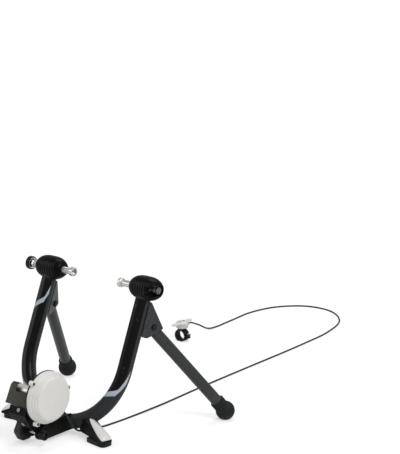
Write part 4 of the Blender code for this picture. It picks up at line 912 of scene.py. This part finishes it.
class TRAINER_OT_axle_clamps(bpy.types.Operator):
    """Turn the spindles, axle cups, handwheel and pull knob."""
    bl_idname = "trainer.axle_clamps"
    bl_label = "Axle clamps"

    def cup(self, side, face, *labels):
        profile = beyond(face, (12.5, 4.3), (12.5, 10.4), (9.5, 10.4), (8.9, 12), (0, 12), (0, 8.5), (1.2, 8),
                         (8, 7.8), (8, 4.3))
        lathe(profile, 0.0006, AXLE, X_AXIS * side, *labels)

    def left_screw(self):
        start, end = LEFT_CUP + CUP_LENGTH + GAP, WHEEL_INNER - 0.004
        low = start + 0.002
        steps = max(8, int((end - low) / (sizes().thread_lead / 6)))
        thread = [(low + (end - low) * k / steps, SPINDLE_RADIUS) for k in range(steps + 1)]
        form = Form().turn([(low, 0)] + thread + [(end, 0)], AXLE, -X_AXIS, 48, wound)
        for profile in (beyond(start, (-3, 0), (-3, 4), (0, 4), (0, 7.8), (2, 7.8), (2, 0)),
                        beyond(WHEEL_INNER, (-4, 0), (-4, 8.7), (0, 8.7), (0, 5), (9, 5), (9, 0))):
            form.turn(eased(profile, 0.0003), AXLE, -X_AXIS)
        form.piece("left_screw_rod", "left_screw", "plated_steel", "steel", "left_spindle")

    def left_wheel(self):
        stack = (("left_wheel_disc", 0.0012, 0.0002, 0.0142, 64, "plated_steel", "steel"),
                 ("left_wheel_washer", 0.0045, 0.0014, 0.0112, 64, "blackened_steel", "dark_steel"),
                 ("left_lock_nut", 0.0115, 0.0047, 0.0116, 6, "plated_steel", "steel"))
        for name, low, high, radius, sides, finish, slot in stack:
            lathe(tube(WHEEL_INNER - low, WHEEL_INNER - high, BORE, radius), 0.0003, AXLE, -X_AXIS,
                  name, "left_screw", finish, slot, sides=sides)
        out = WHEEL_INNER + 0.010
        profile = beyond(WHEEL_INNER + GAP, (0, 5.3), (0, 10.5), (2.2, 11.2), (2.2, 13.7), (0, 14.5), (0, 17.5))
        profile += beyond(out, (0, 17.5), (0, 14.3), (-3, 13.3), (-3, 9.8), (-0.4, 9.4), (-0.4, 5.3))
        lathe(profile, 0.0008, AXLE, -X_AXIS,
              "left_grip_wheel", "left_screw", "knob_plastic", "black_plastic", "left_handwheel", sides=96)
        hub = beyond(out, (-1, 0), (-1, 8.8), (1.2, 8.8), (2, 5), (2, 0))
        lathe(hub, 0.0005, AXLE, -X_AXIS, "left_wheel_hub", "left_screw", "plated_steel", "steel")

    def right_pull(self):
        start = RIGHT_CUP + CUP_LENGTH + GAP
        inner = SLEEVE_END + 2 * GAP
        rod = beyond(start, (-3, 0), (-3, 4), (0, 4), (0, 8.7))
        rod += beyond(inner - GAP, (0, 8.7), (0, 5), (17.5, 5), (17.5, 0))
        lathe(rod, 0.0006, AXLE, X_AXIS, "right_pull_rod", "right_clamp", "plated_steel", "steel", "right_spindle")
        knob = beyond(inner, (0, 5.3), (0, 8.8), (3.5, 10), (13, 10), (14, 8.8), (16.3, 8.8), (17.5, 9.8),
                      (17.5, 5.3))
        lathe(knob, 0.0006, AXLE, X_AXIS,
              "right_knob_body", "right_clamp", "dark_plate", "dark_steel", "right_pull_knob")
        cap = beyond(inner + 0.0175 + GAP, (0, 0), (0, 8.8), (3.2, 8.8), (3.2, 6.2), (2, 5.6), (2, 0))
        lathe(cap, 0.0006, AXLE, X_AXIS, "right_knob_ring", "right_clamp", "dark_plate", "steel", "right_knob_cap")

    def execute(self, context):
        self.cup(-1, LEFT_CUP, "left_cup", "left_clamp", "plated_steel", "steel", "left_axle_cup")
        self.cup(1, RIGHT_CUP, "right_cup", "right_clamp", "turned_aluminium", "aluminium", "right_axle_cup")
        self.left_screw()
        self.left_wheel()
        self.right_pull()
        return {"FINISHED"}


class LegPlace:
    """One leg's points and directions: `out` runs from post to pivot, `normal` along the fold axis."""

    def __init__(self, side):
        self.out = AHEAD * math.cos(LEG_SPLAY) + X_AXIS * (side * math.sin(LEG_SPLAY))
        self.normal = DOWN.cross(self.out) * side
        self.way = DOWN * math.cos(LEG_OPEN) + self.out * math.sin(LEG_OPEN)
        self.pivot = post_point(side, PIVOT_SLOPE) + self.out * PIVOT_REACH
        self.length = (self.pivot.z - FOOT_HEIGHT) / -self.way.z


class TRAINER_OT_legs(bpy.types.Operator):
    """Dress the folding legs: tubes, grooved rubber feet, brackets and their pivot bolts."""
    bl_idname = "trainer.legs"
    bl_label = "Folding legs"

    def foot(self, leg, word):
        end = leg.length - FOOT_OVERLAP + GAP
        profile = beyond(leg.length - 0.037, (0, 15.3), (0, 18), (1.2, 19), (4.2, 19), (5.2, 17.8), (7.2, 17.8),
                         (8.2, 19), (11.2, 19), (12.2, 17.8), (14.2, 17.8), (15.5, 18.8))
        for degrees in range(-42, 85, 9):
            turn = math.radians(degrees)
            profile.append((leg.length + FOOT_RADIUS * math.sin(turn), FOOT_RADIUS * math.cos(turn)))
        ends = [(leg.length + FOOT_RADIUS, 0), (end, 0), (end, 0.0153)]
        form = Form().turn(eased(profile, 0.0005, 2) + ends, leg.pivot, leg.way)
        for point in form.verts:
            point.z = max(point.z, 0.0001)
        form.piece(f"{word}_rubber_foot", f"{word}_leg", "foot_rubber", "rubber", f"{word}_leg_foot")

    def pivot(self, leg, word):
        face = LEG_RADIUS + LEG_ROOM + PLATE + GAP
        head = beyond(face, (1, 0), (1, 6.3), (4.6, 6.3), (5.4, 5.4), (5.4, 0))
        form = Form().rod(leg.pivot, leg.normal, face, face + 0.001, 0.0082, 0.0003)
        form.turn(head, leg.pivot, leg.normal, 6)
        form.rod(leg.pivot, leg.normal, -face - 0.003, face + 0.001, BOLT_RADIUS)
        form.piece(f"{word}_pivot_bolt", "frame", "blackened_steel", "dark_steel", f"{word}_leg_bolt")
        cap = beyond(face, (0, 4.3), (0, 8.5), (3, 8.5), (4.6, 6.8), (5, 3), (5, 0), (3.3, 0), (3.3, 4.3))
        lathe(cap, 0.0006, leg.pivot, -leg.normal,
              f"{word}_pivot_cap", "frame", "inner_plastic", "black_plastic", f"{word}_leg_bolt_cap")

    def execute(self, context):
        for side, word in SIDES:
            leg = LegPlace(side)
            lathe(tube(-0.009, leg.length - FOOT_OVERLAP, LEG_BORE, LEG_RADIUS), 0.0005, leg.pivot, leg.way,
                  f"{word}_tube", f"{word}_leg", "graphite_coat", "graphite_paint", f"{word}_leg_tube")
            self.foot(leg, word)
            soften(f"{word}_leg_bracket", "frame", "graphite_coat", "graphite_paint", 0.0008)
            self.pivot(leg, word)
        return {"FINISHED"}


class TRAINER_OT_stances(bpy.types.Operator):
    """Dress the rear corners: moulded brackets, white teardrop caps and rubber soles."""
    bl_idname = "trainer.stances"
    bl_label = "Rear corners"

    def cap(self, side, word):
        """A ridged teardrop on the bracket's slope, cut back where the frame's tube passes."""
        along = Vector((side * math.cos(STANCE_TURN), math.sin(STANCE_TURN), 0))
        across = Z_AXIS.cross(along)
        rows, columns = 28, 18
        form = Form()
        loops = []
        for i in range(rows + 1):
            share = i / rows
            distance = 0.032 + 0.077 * share
            lift = 0.050 - 0.032 * (distance - 0.032) / 0.078 + GAP
            wide = (0.008 + 0.022 * math.sin(share * math.pi / 2) ** 0.8) / 2
            tip = min(share / 0.10, (1 - share) / 0.10, 1)
            wide *= 0.80 + 0.20 * math.sqrt(1 - (1 - tip) ** 2)
            ease = math.sin(math.pi * min(share + 0.12, 1 - share * 0.12) * 0.5)
            middle = at(side * 0.075, -0.138, 0) + along * distance
            points = [middle - across * wide + Z_AXIS * lift]
            for j in range(columns + 1):
                place = 2 * j / columns - 1
                ridge = 1 - math.sqrt(place * place + 0.004)
                brim = 1 - abs(place) ** 8
                points.append(middle + across * (wide * place)
                              + Z_AXIS * (lift + 0.0018 + 0.0012 * brim + 0.0062 * ease * ridge * tip ** 0.3))
            points.append(middle + across * wide + Z_AXIS * lift)
            loops.append(form.loop(points))
        form.faces += [list(loops[0]), list(loops[-1])]
        shell = carve(form.skin(loops).solid(f"{word}_cap"), frame_cutter(), "DIFFERENCE")
        settle(shell, "frame", "cover_plastic", "white_plastic", f"{word}_foot_cap", sharp=30)

    def execute(self, context):
        for side, word in SIDES:
            soften(f"{word}_rear_bracket", "frame", "bracket_plastic", "black_plastic", 0.0010)
            self.cap(side, word)
            soften(f"{word}_rear_sole", "frame", "foot_rubber", "rubber", 0.0015)
        return {"FINISHED"}


class TRAINER_OT_brake_case(bpy.types.Operator):
    """Mould the stepped brake cover and its back plate, with lugs and screws, over the rotor and magnets."""
    bl_idname = "trainer.brake_case"
    bl_label = "Brake case"

    def execute(self, context):
        r, face, back = CASE_RADIUS, CASE_FACE, CASE_BACK
        seat = back - GAP
        rear = seat - BACK_PLATE
        profile = beyond(face, (-0.2, 0), (-0.2, 12.5), (0, 13.5))
        profile += beyond(face, (0, -13.5), (-1.4, -12.5), (-1.6, -10.2), (-6, -9.2), (-6.4, -6.8), (-11.6, -6),
                          (-12, -3.4), (-17.8, -2.8), (-18.4, 0), out=r)
        profile += [(back, r), (back, r - 0.0028)] + beyond(face, (-19, -5.6), (-5, -15), out=r)
        profile += beyond(face, (-4.5, 12), (-10.2, 12), (-10.2, 7.7), (-13.3, 7.7), (-13.3, 0))
        cover = Form().turn(eased(profile, 0.0008), ROLLER, X_AXIS, 120)
        profile = [(0.0403, 0.006), (0.0403, 0.020), (rear, 0.020), (rear, r + 0.001), (seat, r + 0.001),
                   (seat, 0.006)]
        plate = Form().turn(eased(profile, 0.0010), ROLLER, X_AXIS, 120)
        for k, degrees in enumerate(LUG_ANGLES):
            turn, distance = math.radians(degrees), r + LUG_REACH
            centre = ROLLER + Y_AXIS * (math.cos(turn) * distance) + Z_AXIS * (math.sin(turn) * distance)
            lug = beyond(back, (0, 2.3), (0, 6.5), (12, 6.2), (12, 4.4), (11.2, 4.1), (11.2, 2.3))
            cover.turn(eased(lug, 0.0006), centre, X_AXIS, 40)
            plate.turn(eased(tube(rear, seat, 0.0023, 0.0065), 0.0005), centre, X_AXIS, 40)
            head = back + 0.0112 + GAP
            screw = beyond(head, (0, 0), (0, 3.6), (1.8, 3.4), (2.6, 2.2), (2.6, 1.6), (1, 1.4), (1, 0))
            form = Form().turn(eased(screw, 0.0003), centre, X_AXIS, 36)
            form.rod(centre, X_AXIS, rear, head + 0.001, 0.002, 0.0002, 24)
            form.piece(f"case_lug_screw_{k + 1}", "brake_unit", "dark_plate", "dark_steel", f"case_screw_{k + 1}")
        cover.piece("brake_cover_shell", "brake_unit", "cover_plastic", "white_plastic", "brake_cover")
        plate.piece("brake_rear_shell", "brake_unit", "inner_plastic", "black_plastic", "brake_back_plate")
        dress("turned_aluminium", "brake_rotor")
        dress("dark_plate", "magnet_plate")
        dress("magnet_plate_finish", *[f"magnet_{k}" for k in range(1, 7)])
        return {"FINISHED"}


class TRAINER_OT_roller_housing(bpy.types.Operator):
    """Dress the leaning roller housing, its swing bracket and bolts, the roller, its shaft and bushes."""
    bl_idname = "trainer.roller_housing"
    bl_label = "Roller housing"

    def execute(self, context):
        soften("roller_housing", "brake_unit", "housing_coat", "grey_plate", 0.0008)
        soften("swing_bracket", "brake_unit", "black_coat", "black_paint", 0.0008)
        profile = beyond(0, (-36, 4.3), (-36, 12.8), (-33.8, 15), (30.4, 15), (32.6, 12.8), (32.6, 4.3))
        lathe(profile, 0.0007, ROLLER, X_AXIS,
              "roller_barrel", "roller_spin", "turned_aluminium", "aluminium", "roller", sides=96)
        Form().rod(ROLLER, X_AXIS, -0.044, 0.071, BOLT_RADIUS, 0.0006).piece(
            "roller_axle", "roller_spin", "plated_steel", "steel", "roller_shaft")
        for word, flange, length in (("left", -0.0423, 6), ("right", 0.0372, 2.5)):
            bush = beyond(flange, (-4, 4.3), (-4, 8.2), (-2.8, 9), (0, 9), (0, 6), (length, 6), (length, 4.3))
            lathe(bush, 0.0004, ROLLER, X_AXIS,
                  f"{word}_bush", "brake_unit", "inner_plastic", "black_plastic", f"{word}_roller_bush", sides=48)
        for name in ("upper_housing_bolt", "lower_housing_bolt"):
            soften(name, "brake_unit", "worn_steel", "steel", 0.0005)
        return {"FINISHED"}


class TRAINER_OT_swing_mount(bpy.types.Operator):
    """Dress the base arm, the lobed clamp knob on its bolt, and the round nut."""
    bl_idname = "trainer.swing_mount"
    bl_label = "Swing mount"

    def knob(self, face, back):
        """Six lobes on a round body. Each station has its place, its radius and how far it is lobed."""
        stations = [(1.6, 10, 0), (1, 13.5, 0.2), (0, 15, 0.4), (0, 21.5, 0.7), (0.6, 24, 1), (2.2, 26.2, 1),
                    (4.6, 27, 1), (18, 27, 1), (20.2, 26.4, 1), (21.6, 24.6, 1), (22, 22, 0.8), (22, 11, 0.2)]
        form = Form()
        loops = []
        sides = 144
        for x, far, lobed in stations:
            points = []
            for k in range(sides):
                angle = 2 * math.pi * k / sides
                radius = (far - lobed * 2.4 * (1 - math.cos(6 * angle)) / 2) / 1000
                points.append(SWING + X_AXIS * (back + x / 1000)
                              + (Y_AXIS * math.cos(angle) + Z_AXIS * math.sin(angle)) * radius)
            loops.append(form.loop(points))
        form.faces += [list(loops[0]), list(loops[-1])]
        form.skin(loops).rod(SWING, X_AXIS, face - 0.0022, face, 0.009, 0.0004)
        form.piece("lobed_knob", "clamp_knob", "clamp_knob_plastic", "black_plastic", "clamp_knob", sharp=50)

    def execute(self, context):
        soften("base_arm", "frame", "black_coat", "black_paint", 0.0008)
        face = ARM_LEFT - GAP - PLATE - GAP
        self.knob(face, face - KNOB_LENGTH)
        start = ARM_RIGHT + GAP + PLATE + GAP
        Form().rod(SWING, X_AXIS, face - 0.019 + GAP, start + 0.012 - GAP, BOLT_RADIUS, 0.0006).piece(
            "swing_bolt", "clamp_knob", "plated_steel", "steel", "pivot_bolt")
        nut = beyond(start, (0, 4.3), (0, 12), (17, 12), (18.5, 10.5), (18.5, 6.6), (12, 6), (12, 4.3))
        lathe(nut, 0.0008, SWING, X_AXIS, "round_nut", "frame", "inner_plastic", "black_plastic", "pivot_nut")
        return {"FINISHED"}


class TRAINER_OT_remote(bpy.types.Operator):
    """Dress the handlebar remote: clamp, drum body with its cable barrel, and two-winged dial."""
    bl_idname = "trainer.remote"
    bl_label = "Handlebar remote"

    def execute(self, context):
        foot = Vector((REMOTE.x, REMOTE.y, 0))
        soften("remote_clamp", "frame", "inner_plastic", "black_plastic", 0.0006)
        soften("remote_clamp_screw", "frame", "plated_steel", "steel", 0.0003)
        drum = beyond(REMOTE_BODY_Z, (0, 0), (0, 16), (2.5, 19), (9, 19), (9.4, 18.4), (10.4, 18.4), (10.8, 19),
                      (12, 18.6), (12, 0))
        form = Form().turn(eased(drum, 0.0006), foot, Z_AXIS)
        barrel = beyond(BARREL_END, (-22, 0), (-22, 4.5), (-5, 4.5), (-4.5, 4), (-3, 4), (-2.5, 4.5), (0, 4.3),
                        (0, 0))
        form.turn(eased(barrel, 0.0003), foot + Z_AXIS * (REMOTE_BODY_Z + BARREL_LIFT), Y_AXIS, 40)
        form.piece("remote_drum", "frame", "remote_plastic", "pale_plastic", "remote_body")
        seat = REMOTE_BODY_Z + 0.012 + GAP
        dial = beyond(seat, (0, 0), (0, 17.6), (1, 18), (5.2, 18), (8, 15.5), (8, 0))
        form = Form().turn(eased(dial, 0.0008), foot, Z_AXIS)
        form.plate(rounded_box(0.007, 0.043, 0.006, 6), foot, X_AXIS, Y_AXIS, Z_AXIS, seat + 0.001, seat + 0.006)
        form.piece("remote_dial", "remote_lever", "cover_plastic", "white_plastic", "remote_lever", bevel=0.0012)
        for k, y in ((1, -0.0085), (2, 0.0085)):
            mark = Form().plate(rounded_box(0.0022, 0.0045, 0.002, 5), foot + Y_AXIS * y, X_AXIS, Y_AXIS, Z_AXIS,
                                seat + 0.0078, seat + 0.0083)
            mark.piece(f"dial_mark_{k}", "remote_lever", "inner_plastic", "black_plastic", bevel=0.0002)
        return {"FINISHED"}


class TRAINER_OT_stage(bpy.types.Operator):
    """Set up the pale floor, the soft lamps and the world."""
    bl_idname = "trainer.stage"
    bl_label = "Stage"

    def floor(self):
        """A pale floor that keeps its shadows and turns white far away, as the backdrop is."""
        corners = [(-40, -40), (40, -40), (40, 40), (-40, 40)]
        floor = Form().plate(corners, ORIGIN, X_AXIS, Y_AXIS, Z_AXIS, -0.05, 0).solid("floor")
        pale = Finish("pale_floor", (0.86, 0.86, 0.86), 0.75, specular=0.1)
        pale.set("Base Color", pale.mix(pale.noise(40, 4), (0.85, 0.85, 0.85), (0.87, 0.87, 0.87)))
        seen = Number(pale, pale.node("ShaderNodeLightPath").outputs["Is Camera Ray"])
        east, north = pale.along(X_AXIS), pale.along(Y_AXIS, at(0, 0.5, 0))
        far = ((east * east + north * north) ** 0.5).step(0.9, 3.0)
        glow = pale.node("ShaderNodeEmission", {}, {"Color": (1, 1, 1), "Strength": 1.2})
        mixed = pale.node("ShaderNodeMixShader", {}, {0: seen * (0.45 + far * 0.55), 1: pale.shader.outputs[0],
                                                      2: glow.outputs[0]})
        pale.tree.links.new(mixed.outputs[0], pale.tree.nodes["Material Output"].inputs["Surface"])
        floor.data.materials.append(pale.material)

    def world(self):
        """White to the camera, dimmer as a light."""
        world = bpy.data.worlds.new("studio")
        world.use_nodes = True
        tree = world.node_tree
        tree.nodes.clear()
        rays = tree.nodes.new("ShaderNodeLightPath")
        mix = tree.nodes.new("ShaderNodeMixShader")
        tree.links.new(rays.outputs["Is Camera Ray"], mix.inputs[0])
        for socket, strength in ((1, WORLD_LIGHT), (2, 1.0)):
            light = tree.nodes.new("ShaderNodeBackground")
            light.inputs["Color"].default_value = (1, 1, 1, 1)
            light.inputs["Strength"].default_value = strength
            tree.links.new(light.outputs[0], mix.inputs[socket])
        out = tree.nodes.new("ShaderNodeOutputWorld")
        tree.links.new(mix.outputs[0], out.inputs["Surface"])
        bpy.context.scene.world = world

    def lamp(self, name, place, power, size):
        data = bpy.data.lights.new(name, "AREA")
        data.energy = power
        data.shape = "DISK"
        data.size = size
        lamp = bpy.data.objects.new(name, data)
        bpy.context.scene.collection.objects.link(lamp)
        lamp.location = place
        aim = LAMP_AIM - Vector(place)
        lamp.rotation_euler = aim.to_track_quat("-Z", "Y").to_euler()

    def execute(self, context):
        self.floor()
        self.world()
        for lamp in LAMPS:
            self.lamp(*lamp)
        context.scene.view_settings.view_transform = "Standard"
        return {"FINISHED"}


PIECES = (TRAINER_OT_camera, TRAINER_OT_remote, TRAINER_OT_cable, TRAINER_OT_u_frame, TRAINER_OT_clamp_heads,
          TRAINER_OT_axle_clamps, TRAINER_OT_legs, TRAINER_OT_stances, TRAINER_OT_brake_case,
          TRAINER_OT_roller_housing, TRAINER_OT_swing_mount, TRAINER_OT_stage)


class TRAINER_PT_pieces(bpy.types.Panel):
    """Lists the trainer's pieces, with their sizes and colours."""
    bl_idname = "TRAINER_PT_pieces"
    bl_label = "Trainer"
    bl_space_type = "VIEW_3D"
    bl_region_type = "UI"
    bl_category = "Trainer"

    def draw(self, context):
        for group in (context.scene.trainer_sizes, context.scene.trainer_colours):
            box = self.layout.box()
            for name in group.__annotations__:
                box.prop(group, name)
        for piece in PIECES:
            self.layout.operator(piece.bl_idname)


CLASSES = (TrainerSizes, TrainerColours, *PIECES, TRAINER_PT_pieces)


def register():
    for kind in CLASSES:
        bpy.utils.register_class(kind)
    bpy.types.Scene.trainer_sizes = PointerProperty(type=TrainerSizes)
    bpy.types.Scene.trainer_colours = PointerProperty(type=TrainerColours)


def unregister():
    del bpy.types.Scene.trainer_colours
    del bpy.types.Scene.trainer_sizes
    for kind in reversed(CLASSES):
        bpy.utils.unregister_class(kind)


def main():
    register()
    for piece in PIECES:
        getattr(bpy.ops.trainer, piece.bl_idname.split(".")[1])()


if __name__ == "__main__":
    main()
